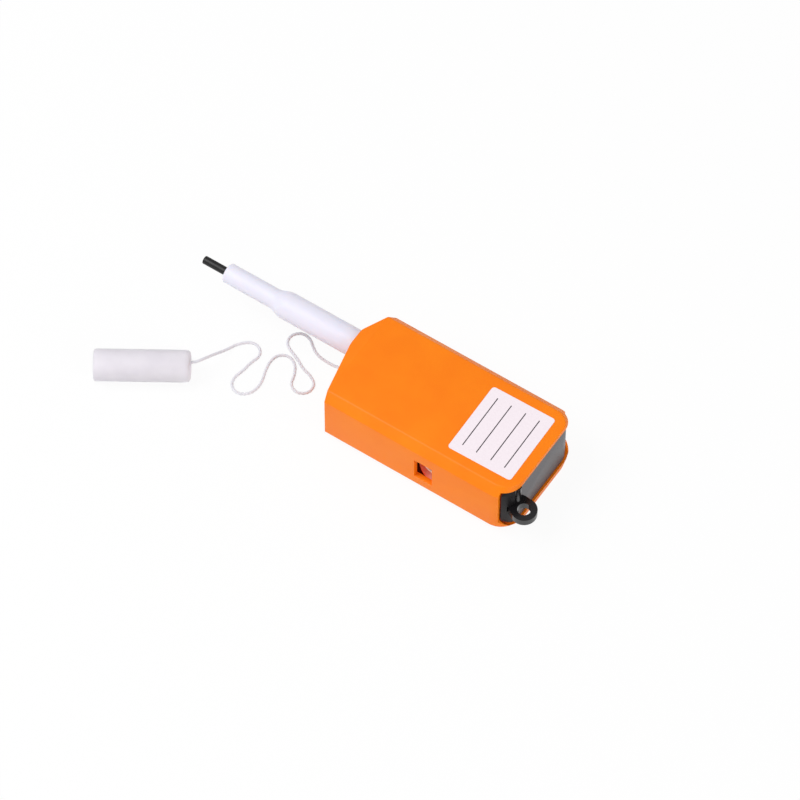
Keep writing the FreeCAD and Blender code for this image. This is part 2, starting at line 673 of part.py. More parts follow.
def make_guide_pins():
    """Two polished pins that lead the thread into the nozzle, one node."""
    body = new_body("thread_guide_pins")
    for along, across in GUIDE_PLACES:
        cylinder(body, "XY", along, across, "0.6", "bottom_wall + clearance", "reel_low + reel_tall")
    return body


def make_nozzle():
    """White stepped nozzle: narrow neck, flare and thick stem that slides in the case."""
    body = new_body("nozzle", NOZZLE_FRONT, "axis_offset", "axis_height")
    stem_start = "(neck_length + flare_length)"
    end = f"({stem_start} + stem_length)"
    lip = "(tip_neck + clearance / 2)"
    turned(body, [
        ("0", lip),
        ("0", "neck_radius - 0.6"),
        ("0.6", "neck_radius"),
        ("neck_length", "neck_radius"),
        (f"{stem_start} - 1.0", "stem_radius - 0.25"),
        (stem_start, "stem_radius"),
        (end, "stem_radius"),
        (end, SPIGOT),
        (f"{end} + 3.6", SPIGOT),
        (f"{end} + 3.6", "stem_bore"),
        ("tip_root + 12", "stem_bore"),
        ("tip_root + 12", "1.2"),
        ("tip_root + 10.5", "1.2"),
        ("tip_root + 10.5", "2.0"),
        ("tip_root", "2.0"),
        ("tip_root", "tip_shoulder"),
        ("lip_thick", "tip_shoulder"),
        ("lip_thick", lip),
    ])
    return body


def make_tip_sleeve():
    """Black tube of the 2.5 mm tip, pressed in the nozzle, with a rounded rim."""
    body = new_body("tip_sleeve", TIP_END, "axis_offset", "axis_height")
    end = "(tip_reach + tip_root)"
    turned(body, [
        ("0", "tip_bore"),
        ("0", "tip_radius - 0.2"),
        ("0.2", "tip_radius"),
        ("tip_reach - clearance", "tip_radius"),
        ("tip_reach - clearance", "tip_neck"),
        ("tip_reach + lip_thick", "tip_neck"),
        ("tip_reach + lip_thick", "tip_shoulder"),
        (end, "tip_shoulder"),
        (end, "tip_bore"),
    ])
    return body


def make_cleaning_tip():
    """Core that carries the thread across the tip, with a spring collar."""
    body = new_body("cleaning_tip", TIP_END, "axis_offset", "axis_height")
    core = "(tip_bore - 0.05)"
    collar = "(tip_reach + tip_root + 0.4)"
    turned(body, [
        ("0.1", "0"),
        ("0.1", f"{core} - 0.2"),
        ("0.3", core),
        (collar, core),
        (collar, "1.7"),
        (f"{collar} + 1.2", "1.7"),
        (f"{collar} + 1.2", core),
        (f"{collar} + 13", core),
        (f"{collar} + 13", "0"),
    ])
    return body


def make_carriage():
    """Block clamped on the stem, with the rack that drives the gear."""
    body = new_body("carriage")
    half = "(stem_radius - 0.05)"
    block = rectangle("collar_front", COLLAR_BACK, f"axis_offset - {half}", f"axis_offset + {half}")
    prism(body, "XY", block, "gear_low", f"axis_height + {half}")
    pitch_line = f"(reel_row + {PITCH_RADIUS})"
    bar = rectangle(f"{COLLAR_BACK} - 2", "takeup_along + 4.5", f"{pitch_line} + 0.75", "axis_offset - 3.2")
    prism(body, "XY", bar, "gear_low", "gear_low + gear_thick")
    step = "(gear_module * pi * 1)"
    first = "takeup_along - 7.5 * gear_module * pi"
    tooth = [
        (f"{first} - 0.36 * {step}", f"{pitch_line} + 0.9"),
        (f"{first} - 0.13 * {step}", f"{pitch_line} - 0.5"),
        (f"{first} + 0.13 * {step}", f"{pitch_line} - 0.5"),
        (f"{first} + 0.36 * {step}", f"{pitch_line} + 0.9"),
    ]
    single = prism(body, "XY", tooth, "gear_low", "gear_low + gear_thick")
    pattern = body.newObject("PartDesign::LinearPattern", "Teeth")
    pattern.Originals = [single]
    pattern.Direction = (next(f for f in body.Origin.OriginFeatures if f.Role == "X_Axis"), [""])
    pattern.setExpression("Length", bound(f"9 * {step}"))
    pattern.Occurrences = 10
    body.Tip = pattern
    body.Tip = cylinder(body, "YZ", "axis_offset", "axis_height", SPIGOT,
                        "collar_front - 1", "collar_front + 3.6", cut=True)
    body.Tip = cylinder(body, "YZ", "axis_offset", "axis_height", "stem_bore",
                        "collar_front - 1", f"{COLLAR_BACK} + 1", cut=True)
    return body


def make_label():
    """Blank sticker on the top face, turned a little, with rounded corners."""
    body = new_body("label", "label_along", "0", "case_height")
    turn_body(body, "label_turn")
    sheet = rectangle("-label_long / 2", "label_long / 2", "-label_wide / 2", "label_wide / 2")
    blank = prism(body, "XY", sheet, "0", "label_thick")
    round_edges(body, blank, "8 * label_thick", is_upright)
    return body


def make_dust_cap():
    """Frosted cap: stepped bore, rounded closed end with an off-centre cord hole."""
    body = new_body("dust_cap", "cap_along", "cap_across", "cap_radius")
    turn_body(body, "cap_turn")
    turned(body, [
        ("0", "cap_mouth"),
        ("0", "cap_radius - 1.0"),
        ("0.3", "cap_radius - 0.5"),
        ("1.2", "cap_radius"),
        ("cap_length - 1.4", "cap_radius"),
        ("cap_length - 0.4", "cap_radius - 0.4"),
        ("cap_length", "cap_radius - 1.4"),
        ("cap_length", "0"),
        ("cap_length - cap_end", "0"),
        ("cap_length - cap_end", "cap_bore"),
        ("cap_mouth_deep", "cap_bore"),
        ("cap_mouth_deep", "cap_mouth"),
    ])
    cylinder(body, "YZ", "0", "cap_hole_up", "cord_hole", "cap_length - cap_end - 1", "cap_length + 1",
             cut=True)
    cylinder(body, "YZ", "0", "cap_hole_up", "bead_radius + clearance / 2", "cap_length - cap_end - 0.5",
             CAP_BEAD_END, cut=True)
    return body


def make_cord_beads():
    """Crimp beads on the two ends of the cord, inside the nose and inside the cap."""
    nose_bead = new_body("nose_cord_bead", f"{NOSE} + front_wall", "anchor_across", "anchor_height")
    cylinder(nose_bead, "YZ", "0", "0", "bead_radius", "0", "bead_length")
    cap_bead = new_body("cap_cord_bead", "cap_along", "cap_across", "cap_radius")
    turn_body(cap_bead, "cap_turn")
    cylinder(cap_bead, "YZ", "0", "cap_hole_up", "bead_radius",
             f"{CAP_BEAD_END} - bead_length", CAP_BEAD_END)
    return [nose_bead, cap_bead]


def cord_path():
    """Straight runs joined by tangent arcs along the route, with the arc radii."""
    turn = math.radians(size("cap_turn"))
    inner = size(CAP_BEAD_END)
    bead_face = Vector(
        size("cap_along") + inner * math.cos(turn),
        size("cap_across") + inner * math.sin(turn),
        size("cap_radius + cap_hole_up"),
    )
    points = [bead_face] + [Vector(*point) for point in CORD_ROUTE]
    edges = []
    radii = []
    start = points[0]
    for before, corner, after in zip(points, points[1:], points[2:]):
        inwards = corner - before
        outwards = after - corner
        shorter = min(inwards.Length, outwards.Length)
        angle = inwards.getAngle(outwards)
        if angle < math.radians(0.5):
            edges.append(Part.LineSegment(start, corner).toShape())
            start = corner
            continue
        reach = 0.45 * shorter
        radii.append(reach / math.tan(angle / 2))
        inwards.normalize()
        outwards.normalize()
        enter = corner - inwards * reach
        leave = corner + outwards * reach
        bisector = (outwards - inwards).normalize()
        sagitta = radii[-1] * (1 / math.cos(angle / 2) - 1)
        edges.append(Part.LineSegment(start, enter).toShape())
        edges.append(Part.Arc(enter, corner + bisector * sagitta, leave).toShape())
        start = leave
    edges.append(Part.LineSegment(start, points[-1]).toShape())
    return Part.Wire(edges), radii


def make_tether_cord():
    """Cord from the bead in the cap, across the ground, to the bead in the nose."""
    cord = document.addObject("Part::Feature", "tether_cord")
    cord.Label = "tether_cord"
    path, radii = cord_path()
    radius = size("cord_radius")
    first = path.Edges[0]
    circle = Part.Circle(first.valueAt(first.FirstParameter), first.tangentAt(first.FirstParameter), radius)
    tube = path.makePipeShell([Part.Wire(circle.toShape())], True, False)
    cord.Shape = tube
    expected = math.pi * radius ** 2 * path.Length
    print(f"cord length {path.Length:.1f} mm, smallest radius {min(radii):.2f} mm")
    print("cord radii", " ".join(f"{value:.1f}" for value in radii))
    print(f"cord volume {tube.Volume:.2f} mm3, section times length {expected:.2f} mm3")
    return cord


def all_pieces():
    """Every sub-part, in the order that the pen goes together."""
    pieces = [make_case_sleeve(), make_chassis(), make_chassis_lid(), make_lid_screws(), make_strap_ring()]
    pieces += make_reel("takeup_reel", "takeup_along", "takeup_pack")
    pieces += make_reel("supply_reel", "supply_along", "supply_pack")
    pieces += [make_axle("takeup_axle", "takeup_along"), make_axle("supply_axle", "supply_along")]
    pieces += [make_drive_gear(), make_guide_pins()]
    pieces += make_pawl()
    pieces += [make_nozzle(), make_tip_sleeve(), make_cleaning_tip(), make_carriage()]
    pieces.append(coil("tip_spring", "0.35", "1.45", "8.6", "7",
                       f"{NOZZLE_FRONT} + tip_root + 1.7", "axis_offset", "axis_height"))
    pieces.append(coil("return_spring", "spring_wire", "spring_radius",
                       f"stop_along - {COLLAR_BACK}", "spring_turns", COLLAR_BACK,
                       "axis_offset", "axis_height"))
    pieces += [make_label(), make_dust_cap()]
    pieces += make_cord_beads()
    pieces.append(make_tether_cord())
    return pieces


def check_and_export(pieces):
    """Stop on any failed object or bad shape, then write one STEP file a piece."""
    document.recompute()
    for item in document.Objects:
        if "Invalid" in item.State or "Error" in item.State:
            raise RuntimeError(f"{item.Name} failed: {item.State}")
    for piece in pieces:
        if piece.Shape.isNull() or not piece.Shape.isValid():
            raise RuntimeError(f"{piece.Label} has a bad shape")
    os.makedirs("parts", exist_ok=True)
    for piece in pieces:
        piece.Shape.exportStep(f"parts/{piece.Label}.step")
        box = piece.Shape.BoundBox
        print(f"{piece.Label:18s} solids {len(piece.Shape.Solids)} volume {piece.Shape.Volume:9.2f} "
              f"x {box.XMin:.2f}..{box.XMax:.2f} y {box.YMin:.2f}..{box.YMax:.2f} "
              f"z {box.ZMin:.2f}..{box.ZMax:.2f}")


check_and_export(all_pieces())
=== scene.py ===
"""Dressed model of a push-type cleaning pen for fibre connectors.

The pen lies on its large face: +X runs from the cleaning tip to the strap ring, -Y is the side
with the inspection window and +Z is up. Sizes are written in millimetres and turned to metres
where a mesh is made.
"""

import logging
import math
from contextlib import contextmanager
from dataclasses import dataclass
from enum import Enum
from typing import Any, Callable, Iterable, Iterator, Sequence

import bmesh
import bpy
from bmesh.types import BMEdge, BMesh
from bpy.types import Material, Node, NodeSocket, NodeTree, Object
from mathutils import Matrix, Vector

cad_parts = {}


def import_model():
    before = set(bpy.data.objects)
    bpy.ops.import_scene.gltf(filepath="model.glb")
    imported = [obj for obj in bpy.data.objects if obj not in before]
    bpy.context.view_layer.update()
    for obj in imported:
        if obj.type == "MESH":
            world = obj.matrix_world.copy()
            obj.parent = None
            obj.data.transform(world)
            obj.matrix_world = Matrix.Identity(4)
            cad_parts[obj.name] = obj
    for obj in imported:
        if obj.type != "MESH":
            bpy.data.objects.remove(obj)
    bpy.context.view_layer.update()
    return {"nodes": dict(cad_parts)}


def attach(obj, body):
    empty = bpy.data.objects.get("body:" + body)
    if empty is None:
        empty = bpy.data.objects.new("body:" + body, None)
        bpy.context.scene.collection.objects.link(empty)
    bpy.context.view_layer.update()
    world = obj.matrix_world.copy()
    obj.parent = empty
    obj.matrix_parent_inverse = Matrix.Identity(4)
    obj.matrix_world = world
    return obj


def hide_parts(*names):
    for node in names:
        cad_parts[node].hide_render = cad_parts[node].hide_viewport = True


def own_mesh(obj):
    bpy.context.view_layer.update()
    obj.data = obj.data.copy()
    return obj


logging.basicConfig(level=logging.INFO, format="%(name)s: %(message)s")
LOG = logging.getLogger("cleaning_pen")

# Metres in a millimetre, and the distance in metres within which points are one.
MM = 0.001
WELD = 1e-6
# In millimetres: how far a cutting tool stands proud of its work, how near a vertex is to a
# level that it belongs to, and how far across a side of the pen begins.
SPARE = 1.0
NEAR = 0.01
SIDE_ZONE = 10.0
# Edges that turn by less than the first are taken as flat, and by more than the second as sharp.
FLAT_DEGREES = 12.0
SHARP_DEGREES = 28.0
# Parts of a face's normal: upwards for a level face, for the least tilt that makes a bevel and
# for a full bevel, and along X for a face of the nose.
LEVEL_FACE = 0.95
LEAST_TILT = 0.05
FULL_TILT = 0.7
NOSE_FACE = -0.5
Point = tuple[float, float, float]
Pair = tuple[float, float]
Corner = tuple[float, float, float]
Tone = tuple[float, str]


class Axis(Enum):
    """Direction that a turned or drilled piece runs in."""

    X = (1.0, 0.0, 0.0)
    Z = (0.0, 0.0, 1.0)


class Body(Enum):
    """Groups of the pen that dressed pieces move with."""

    CASE = "case"
    PLUNGER = "plunger"


# --------------------------------------------------------------------------------------
# Modelling


def deselect() -> None:
    """Clear the selection, so that an operator acts on the new piece alone."""
    bpy.ops.object.select_all(action="DESELECT")


def select(obj: Object) -> None:
    """Make a piece the only selected one and the active one."""
    deselect()
    obj.select_set(True)
    bpy.context.view_layer.objects.active = obj


def metres(point: Sequence[float]) -> Vector:
    """Turn a point in millimetres into metres."""
    return Vector(point) * MM


def adopt(name: str) -> Object:
    """Name the object that an operator has just added, and bake its place into its mesh."""
    obj = bpy.context.object
    obj.name = name
    obj.data.name = name
    bpy.ops.object.transform_apply(location=True, rotation=True, scale=True)
    return obj


def pick_all() -> None:
    """Select the whole mesh in edit mode."""
    bpy.ops.mesh.select_all(action="SELECT")


@contextmanager
def editing(obj: Object, mode: str = "EDGE") -> Iterator[BMesh]:
    """Open a piece in edit mode with nothing selected.

    Args:
        obj: The piece.
        mode: VERT, EDGE or FACE selection.
    """
    select(obj)
    bpy.ops.object.mode_set(mode="EDIT")
    bpy.ops.mesh.select_mode(type=mode)
    bpy.ops.mesh.select_all(action="DESELECT")
    mesh = bmesh.from_edit_mesh(obj.data)
    yield mesh
    bpy.ops.object.mode_set(mode="OBJECT")


def choose(obj: Object, items: Iterable[Any], wanted: Callable[[Any], bool]) -> None:
    """Select some of a piece's vertices, edges or faces in edit mode.

    Args:
        obj: The piece.
        items: The elements to choose from.
        wanted: Test of an element.
    """
    for item in items:
        item.select_set(wanted(item))
    bmesh.update_edit_mesh(obj.data)


def block(name: str, low: Point, high: Point) -> Object:
    """Add a box between two corners.

    Args:
        name: Name of the piece.
        low: Lowest corner in millimetres.
        high: Highest corner in millimetres.

    Returns:
        The new piece.
    """
    deselect()
    middle = (metres(low) + metres(high)) / 2
    scale = metres(high) - metres(low)
    bpy.ops.mesh.primitive_cube_add(size=1, location=middle, scale=scale)
    return adopt(name)


def prism(name: str, corners: Sequence[Pair], low: float, high: float) -> Object:
    """Add an upright block with a convex outline.

    Args:
        name: Name of the piece.
        corners: Outline along X and Y in millimetres, anticlockwise from above.
        low: Level of the underside in millimetres.
        high: Level of the top in millimetres.

    Returns:
        The new piece.
    """
    alongs, acrosses = zip(*corners)
    least = (min(alongs) - SPARE, min(acrosses) - SPARE, low)
    most = (max(alongs) + SPARE, max(acrosses) + SPARE, high)
    piece = block(name, least, most)
    for start, end in zip(corners, [*corners[1:], corners[0]]):
        cut_plane(piece, (*start, low), (end[1] - start[1], start[0] - end[0], 0.0))
    return piece


def rod(name: str, base: Point, axis: Axis, length: float, radius: float, sides: int) -> Object:
    """Add a round bar from a base point along an axis.

    Args:
        name: Name of the piece.
        base: Centre of the end that the bar starts from, in millimetres.
        axis: Direction of the bar.
        length: Length in millimetres.
        radius: Radius in millimetres.
        sides: Number of sides.

    Returns:
        The new piece.
    """
    deselect()
    direction = Vector(axis.value)
    middle = metres(base) + direction * (length * MM / 2)
    turn = direction.to_track_quat("Z", "Y").to_euler()
    bpy.ops.mesh.primitive_cylinder_add(
        vertices=sides, radius=radius * MM, depth=length * MM, location=middle, rotation=turn
    )
    return adopt(name)


def cut_plane(obj: Object, point: Point, outwards: Sequence[float]) -> None:
    """Cut away what lies outside a plane and close the cut.

    Args:
        obj: The piece.
        point: A point on the plane in millimetres.
        outwards: Normal towards the waste.
    """
    with editing(obj):
        pick_all()
        bpy.ops.mesh.bisect(
            plane_co=metres(point),
            plane_no=Vector(outwards).normalized(),
            use_fill=True,
            clear_outer=True,
            threshold=WELD,
        )


def bevel_where(
    obj: Object, wanted: Callable[[BMEdge], bool], width: float, segments: int
) -> None:
    """Round the edges that a test accepts.

    Args:
        obj: The piece.
        wanted: Test of an edge.
        width: Distance along the faces in millimetres.
        segments: Facets across the round.
    """
    with editing(obj) as mesh:
        choose(obj, mesh.edges, wanted)
        bpy.ops.mesh.bevel(
            offset=width * MM, segments=segments, profile=0.5, affect="EDGES", clamp_overlap=True
        )


def add_loop(obj: Object, level: float) -> None:
    """Add an edge loop round a piece at a level in millimetres."""
    with editing(obj):
        pick_all()
        bpy.ops.mesh.bisect(
            plane_co=metres((0.0, 0.0, level)), plane_no=Axis.Z.value, threshold=WELD
        )


def slide(obj: Object, wanted: Callable[[Vector], bool], move: Point) -> None:
    """Slide some vertices of a piece.

    Args:
        obj: The piece.
        wanted: Test of a vertex's place in millimetres.
        move: Distance in millimetres.
    """
    with editing(obj, "VERT") as mesh:
        choose(obj, mesh.verts, lambda vertex: wanted(vertex.co / MM))
        bpy.ops.transform.translate(value=metres(move))


def upright_edges(along: float, side: int = 0) -> Callable[[BMEdge], bool]:
    """Make a test for edges along Z.

    Args:
        along: Station along X in millimetres.
        side: -1 or 1 for the edges on one side of the pen, 0 for both.

    Returns:
        The test.
    """

    def wanted(edge: BMEdge) -> bool:
        start, end = (vertex.co for vertex in edge.verts)
        upright = (start - end).xy.length < WELD
        placed = abs(start.x - along * MM) < 10 * WELD
        return upright and placed and (not side or side * start.y > 0)

    return wanted


def settle(obj: Object, kind: str, **settings: object) -> None:
    """Add a modifier and apply it at once.

    Args:
        obj: The piece.
        kind: Modifier type.
        **settings: Values of the modifier.
    """
    select(obj)
    modifier = obj.modifiers.new(kind.title(), kind)
    for key, value in settings.items():
        setattr(modifier, key, value)
    bpy.ops.object.modifier_apply(modifier=modifier.name)


def carve(obj: Object, *tools: Object) -> None:
    """Cut solid tools out of a piece and throw the tools away."""
    for tool in tools:
        settle(obj, "BOOLEAN", operation="DIFFERENCE", solver="EXACT", object=tool)
        bpy.data.objects.remove(tool, do_unlink=True)


def weld(obj: Object, *others: Object) -> None:
    """Unite solids with a piece and throw them away."""
    for other in others:
        settle(obj, "BOOLEAN", operation="UNION", solver="EXACT", object=other)
        bpy.data.objects.remove(other, do_unlink=True)


def ease_edges(obj: Object, width: float, segments: int, angle: float = SHARP_DEGREES) -> None:
    """Break the sharp edges of a piece by a small round, as its mould does.

    Args:
        obj: The piece.
        width: Size of the round in millimetres.
        segments: Facets across the round.
        angle: Edges that turn by more than this many degrees are rounded.
    """
    settle(
        obj,
        "BEVEL",
        width=width * MM,
        segments=segments,
        limit_method="ANGLE",
        angle_limit=math.radians(angle),
        miter_outer="MITER_ARC",
    )


def soften(obj: Object, long_round: float, small_round: float) -> None:
    """Round the bevelled long edges of a piece widely and its other sharp edges a little.

    Args:
        obj: The piece, with its long edges bevelled along X.
        long_round: Size of the round beside a bevel in millimetres.
        small_round: Size of the round on other edges in millimetres.
    """
    share = small_round / long_round

    def weight(edge: BMEdge) -> float:
        first, second = (face.normal for face in edge.link_faces)
        turn = math.degrees(first.angle(second))
        tilts = [abs(normal.z) for normal in (first, second)]
        tilt = max((rise for rise in tilts if rise < LEVEL_FACE), default=0.0)
        on_nose = min(first.x, second.x) <= NOSE_FACE
        if tilt > LEAST_TILT and not on_nose and turn > FLAT_DEGREES:
            return share + (1.0 - share) * min(1.0, tilt / FULL_TILT)
        return share if turn > SHARP_DEGREES else 0.0

    with editing(obj) as mesh:
        layer = mesh.edges.layers.float.new("bevel_weight_edge")
        mesh.normal_update()
        for edge in mesh.edges:
            edge[layer] = weight(edge)
        bmesh.update_edit_mesh(obj.data)
    settle(
        obj,
        "BEVEL",
        width=long_round * MM,
        segments=5,
        limit_method="WEIGHT",
        miter_outer="MITER_ARC",
    )


def tidy_mesh(obj: Object, distance: float = 0.004) -> None:
    """Merge points that coincide, drop slivers and turn every face outwards."""
    with editing(obj, "VERT"):
        pick_all()
        bpy.ops.mesh.remove_doubles(threshold=distance * MM)
        bpy.ops.mesh.dissolve_degenerate(threshold=distance * MM / 4)
        pick_all()
        bpy.ops.mesh.normals_make_consistent(inside=False)


def shade(obj: Object, angle: float) -> None:
    """Shade a piece smooth, except over edges sharper than an angle in degrees."""
    select(obj)
    bpy.ops.object.shade_smooth_by_angle(angle=math.radians(angle))


def turned(name: str, profile: Sequence[Pair], place: Matrix, steps: int) -> Object:
    """Turn a closed profile into a round piece.

    Args:
        name: Name of the piece.
        profile: Pairs of station along the axis and radius, in millimetres, round the section.
        place: Takes the turning axis, local X, to the piece's axis.
        steps: Facets round the piece.

    Returns:
        The new piece.
    """
    deselect()
    bpy.ops.mesh.primitive_plane_add(size=MM)
    obj = adopt(name)
    with editing(obj, "VERT") as mesh:
        mesh.verts.ensure_lookup_table()
        choose(obj, mesh.verts, lambda vertex: vertex.index > 0)
        bpy.ops.mesh.delete(type="VERT")
        mesh = bmesh.from_edit_mesh(obj.data)
        mesh.verts.ensure_lookup_table()
        mesh.verts[0].co = (profile[0][0] * MM, 0.0, profile[0][1] * MM)
        mesh.verts[0].select_set(True)
        bmesh.update_edit_mesh(obj.data)
        closed = list(profile[1:]) + [profile[0]]
        before = profile[0]
        for station in closed:
            step = ((station[0] - before[0]) * MM, 0.0, (station[1] - before[1]) * MM)
            bpy.ops.mesh.extrude_region_move(TRANSFORM_OT_translate={"value": step})
            before = station
        pick_all()
        bpy.ops.mesh.remove_doubles(threshold=WELD / 10)
        pick_all()
        bpy.ops.mesh.spin(steps=steps, angle=2 * math.pi, center=(0, 0, 0), axis=(1, 0, 0))
        pick_all()
        bpy.ops.mesh.remove_doubles(threshold=WELD)
        pick_all()
        bpy.ops.mesh.normals_make_consistent(inside=False)
    obj.data.transform(place)
    return obj


def rounded_profile(corners: Sequence[Corner], facets: int) -> list[Pair]:
    """Round the corners of a closed section.

    Args:
        corners: Station, radius and corner round of each corner, in millimetres.
        facets: Facets across each round.

    Returns:
        The section's points.
    """
    points: list[Pair] = []
    count = len(corners)
    for index, (along, out, size) in enumerate(corners):
        if size <= 0:
            points.append((along, out))
            continue
        corner = Vector((along, out))
        before = (Vector(corners[index - 1][:2]) - corner).normalized()
        after = (Vector(corners[(index + 1) % count][:2]) - corner).normalized()
        half = before.angle(after) / 2
        reach = size / math.tan(half)
        start = corner + before * reach
        end = corner + after * reach
        for step in range(facets + 1):
            share = step / facets
            bend = start * (1 - share) ** 2 + corner * (2 * share * (1 - share)) + end * share**2
            points.append((bend.x, bend.y))
    return points


def laid(origin: Point, turn: float = 0.0) -> Matrix:
    """Place a piece at an origin in millimetres, turned about Z by an angle in degrees."""
    return Matrix.Translation(metres(origin)) @ Matrix.Rotation(math.radians(turn), 4, "Z")


# --------------------------------------------------------------------------------------
# Materials


def colour(code: str) -> tuple[float, float, float, float]:
    """Turn an sRGB hex value into linear colour with full alpha."""
    parts = [int(code[i : i + 2], 16) / 255 for i in (1, 3, 5)]
    linear = [p / 12.92 if p <= 0.04045 else ((p + 0.055) / 1.055) ** 2.4 for p in parts]
    return (linear[0], linear[1], linear[2], 1.0)


def node(
    tree: NodeTree, kind: str, settings: dict[str, object] | None = None, **links: object
) -> Node:
    """Add a shader node with its settings and its links.

    Args:
        tree: The node tree.
        kind: Node type, without the ShaderNode prefix.
        settings: Properties of the node, and values of its inputs by name or number.
        **links: Sockets to plug in, by input name with spaces as underscores, or i0, i1.

    Returns:
        The new node.
    """
    made = tree.nodes.new("ShaderNode" + kind)
    for key, value in (settings or {}).items():
        if isinstance(key, int) or key in made.inputs:
            made.inputs[key].default_value = value
        else:
            setattr(made, key, value)
    for key, socket in links.items():
        index = int(key[1:]) if key[0] == "i" and key[1:].isdigit() else key.replace("_", " ")
        tree.links.new(socket, made.inputs[index])
    return made


def greatest(tree: NodeTree, sockets: Sequence[NodeSocket]) -> NodeSocket:
    """Take the greatest of some values."""
    most = sockets[0]
    for socket in sockets[1:]:
        most = node(tree, "Math", {"operation": "MAXIMUM"}, i0=most, i1=socket).outputs[0]
    return most


class Recipe:
    """A material in the making: its node tree, its surface shader and its output."""

    def __init__(self, name: str) -> None:
        """Start a material with only its surface shader and output."""
        self.material = bpy.data.materials.new(name)
        self.material.use_nodes = True
        self.tree = self.material.node_tree
        self.tree.nodes.clear()
        self.surface = self.add("BsdfPrincipled")
        self.output = self.add("OutputMaterial", Surface=self.surface.outputs["BSDF"])

    def add(self, kind: str, settings: dict[str, object] | None = None, **links: object) -> Node:
        """Add a node to the material."""
        return node(self.tree, kind, settings, **links)

    def put(self, values: dict[str, object]) -> None:
        """Set constants on the surface shader's own sockets."""
        for socket, value in values.items():
            self.surface.inputs[socket].default_value = value

    def feed(self, socket: str, source: NodeSocket) -> None:
        """Plug a pattern or a colour into the surface shader."""
        self.tree.links.new(source, self.surface.inputs[socket])

    def place(self) -> NodeSocket:
        """Read the place on the piece, which a pattern keeps as the piece moves."""
        return self.add("TexCoord").outputs["Object"]

    def noise(self, size_mm: float, detail: float, roughness: float = 0.5) -> NodeSocket:
        """Add a noise pattern.

        Args:
            size_mm: Size of its features in millimetres.
            detail: Number of finer layers.
            roughness: Share of the finer layers.

        Returns:
            The pattern.
        """
        settings = {"Scale": 1 / (size_mm * MM), "Detail": detail, "Roughness": roughness}
        return self.add("TexNoise", settings, Vector=self.place()).outputs["Fac"]

    def two_tones(self, pattern: NodeSocket, low: Tone, high: Tone) -> NodeSocket:
        """Blend two tones by a pattern.

        Args:
            pattern: The pattern.
            low: Level up to which the first tone shows, and its sRGB hex value.
            high: Level from which the second tone shows, and its value.

        Returns:
            The colour.
        """
        tone = self.add("ValToRGB", None, Fac=pattern)
        for stop, (level, code) in zip(tone.color_ramp.elements, (low, high)):
            stop.position = level
            stop.color = colour(code)
        return tone.outputs["Color"]

    def roughen(self, pattern: NodeSocket, reach: Pair, span: Pair = (0.0, 1.0)) -> None:
        """Vary the roughness by a pattern.

        Args:
            pattern: The pattern.
            reach: Least and greatest roughness.
            span: Levels of the pattern that give them.
        """
        names = ("From Min", "From Max", "To Min", "To Max")
        rough = self.add("MapRange", dict(zip(names, (*span, *reach))), Value=pattern)
        self.feed("Roughness", rough.outputs["Result"])

    def emboss(self, pattern: NodeSocket, strength: float, depth_mm: float) -> None:
        """Raise a pattern on the surface.

        Args:
            pattern: The pattern.
            strength: Share of the depth that shows.
            depth_mm: Height of the pattern in millimetres.
        """
        settings = {"Strength": strength, "Distance": depth_mm * MM}
        self.feed("Normal", self.add("Bump", settings, Height=pattern).outputs["Normal"])


@dataclass(frozen=True)
class MouldedPlastic:
    """Injection moulded plastic: even colour, spark-eroded grain and a little flow mottling.

    The grain gives the soft broken highlight of a moulded case; the mottling is the faint
    change of depth of colour where the melt ran.
    """

    name: str
    base: str
    shadow: str
    roughness: float = 0.42
    grain_mm: float = 0.22
    grain_depth: float = 0.10
    mottle_mm: float = 14.0
    translucency: float = 0.0
    shine: float = 0.5
    painted_glow: str = "#000000"
    painted_glow_strength: float = 0.0

    def make(self) -> Material:
        """Build the material's nodes."""
        made = Recipe(self.name)
        clouds = made.noise(self.mottle_mm, 3.0, 0.55)
        made.feed("Base Color", made.two_tones(clouds, (0.30, self.shadow), (0.62, self.base)))
        grain = made.noise(self.grain_mm, 2.0, 0.6)
        made.roughen(grain, (self.roughness - 0.05, self.roughness + 0.07), (0.3, 0.7))
        made.emboss(grain, self.grain_depth, 0.05)
        made.put({"IOR": 1.53, "Specular IOR Level": self.shine})
        # Emission paints light onto a surface; it is used only for the painted glow on the sleeve's
        # inner walls.
        if self.painted_glow_strength > 0:
            made.put({"Emission Color": colour(self.painted_glow), "Emission Strength": self.painted_glow_strength})
        if self.translucency > 0:
            made.put(
                {
                    "Subsurface Weight": self.translucency,
                    "Subsurface Radius": (1.0, 0.8, 0.7),
                    "Subsurface Scale": 1.2 * MM,
                }
            )
        return made.material


@dataclass(frozen=True)
class DrawnSteel:
    """Ground or drawn steel with fine marks."""

    name: str
    base: str = "#9A9BA0"
    roughness: float = 0.3
    marks_mm: float = 0.3

    def make(self) -> Material:
        """Build the material's nodes."""
        made = Recipe(self.name)
        marks = made.noise(self.marks_mm, 4.0)
        made.roughen(marks, (self.roughness - 0.08, self.roughness + 0.12))
        made.emboss(marks, 0.15, 0.01)
        made.put({"Base Color": colour(self.base), "Metallic": 1.0})
        return made.material


@dataclass(frozen=True)
class FrostedPolythene:
    """Natural polythene: milky, lets light through and blurs it, with a waxy skin."""

    name: str = "frosted polythene"
    base: str = "#F8F4FB"
    shadow: str = "#F3EFF6"
    transmission: float = 0.3
    roughness: float = 0.5
    clouds_mm: float = 5.0
    skin_mm: float = 0.35

    def make(self) -> Material:
        """Build the material's nodes."""
        made = Recipe(self.name)
        clouds = made.noise(self.clouds_mm, 2.0)
        made.feed("Base Color", made.two_tones(clouds, (0.3, self.shadow), (0.7, self.base)))
        made.emboss(made.noise(self.skin_mm, 2.0), 0.2, 0.04)
        made.put(
            {
                "Roughness": self.roughness,
                "IOR": 1.3,
                "Transmission Weight": self.transmission,
                "Subsurface Weight": 0.35,
                "Subsurface Radius": (1.0, 1.0, 1.0),
                "Subsurface Scale": 1.5 * MM,
            }
        )
        return made.material


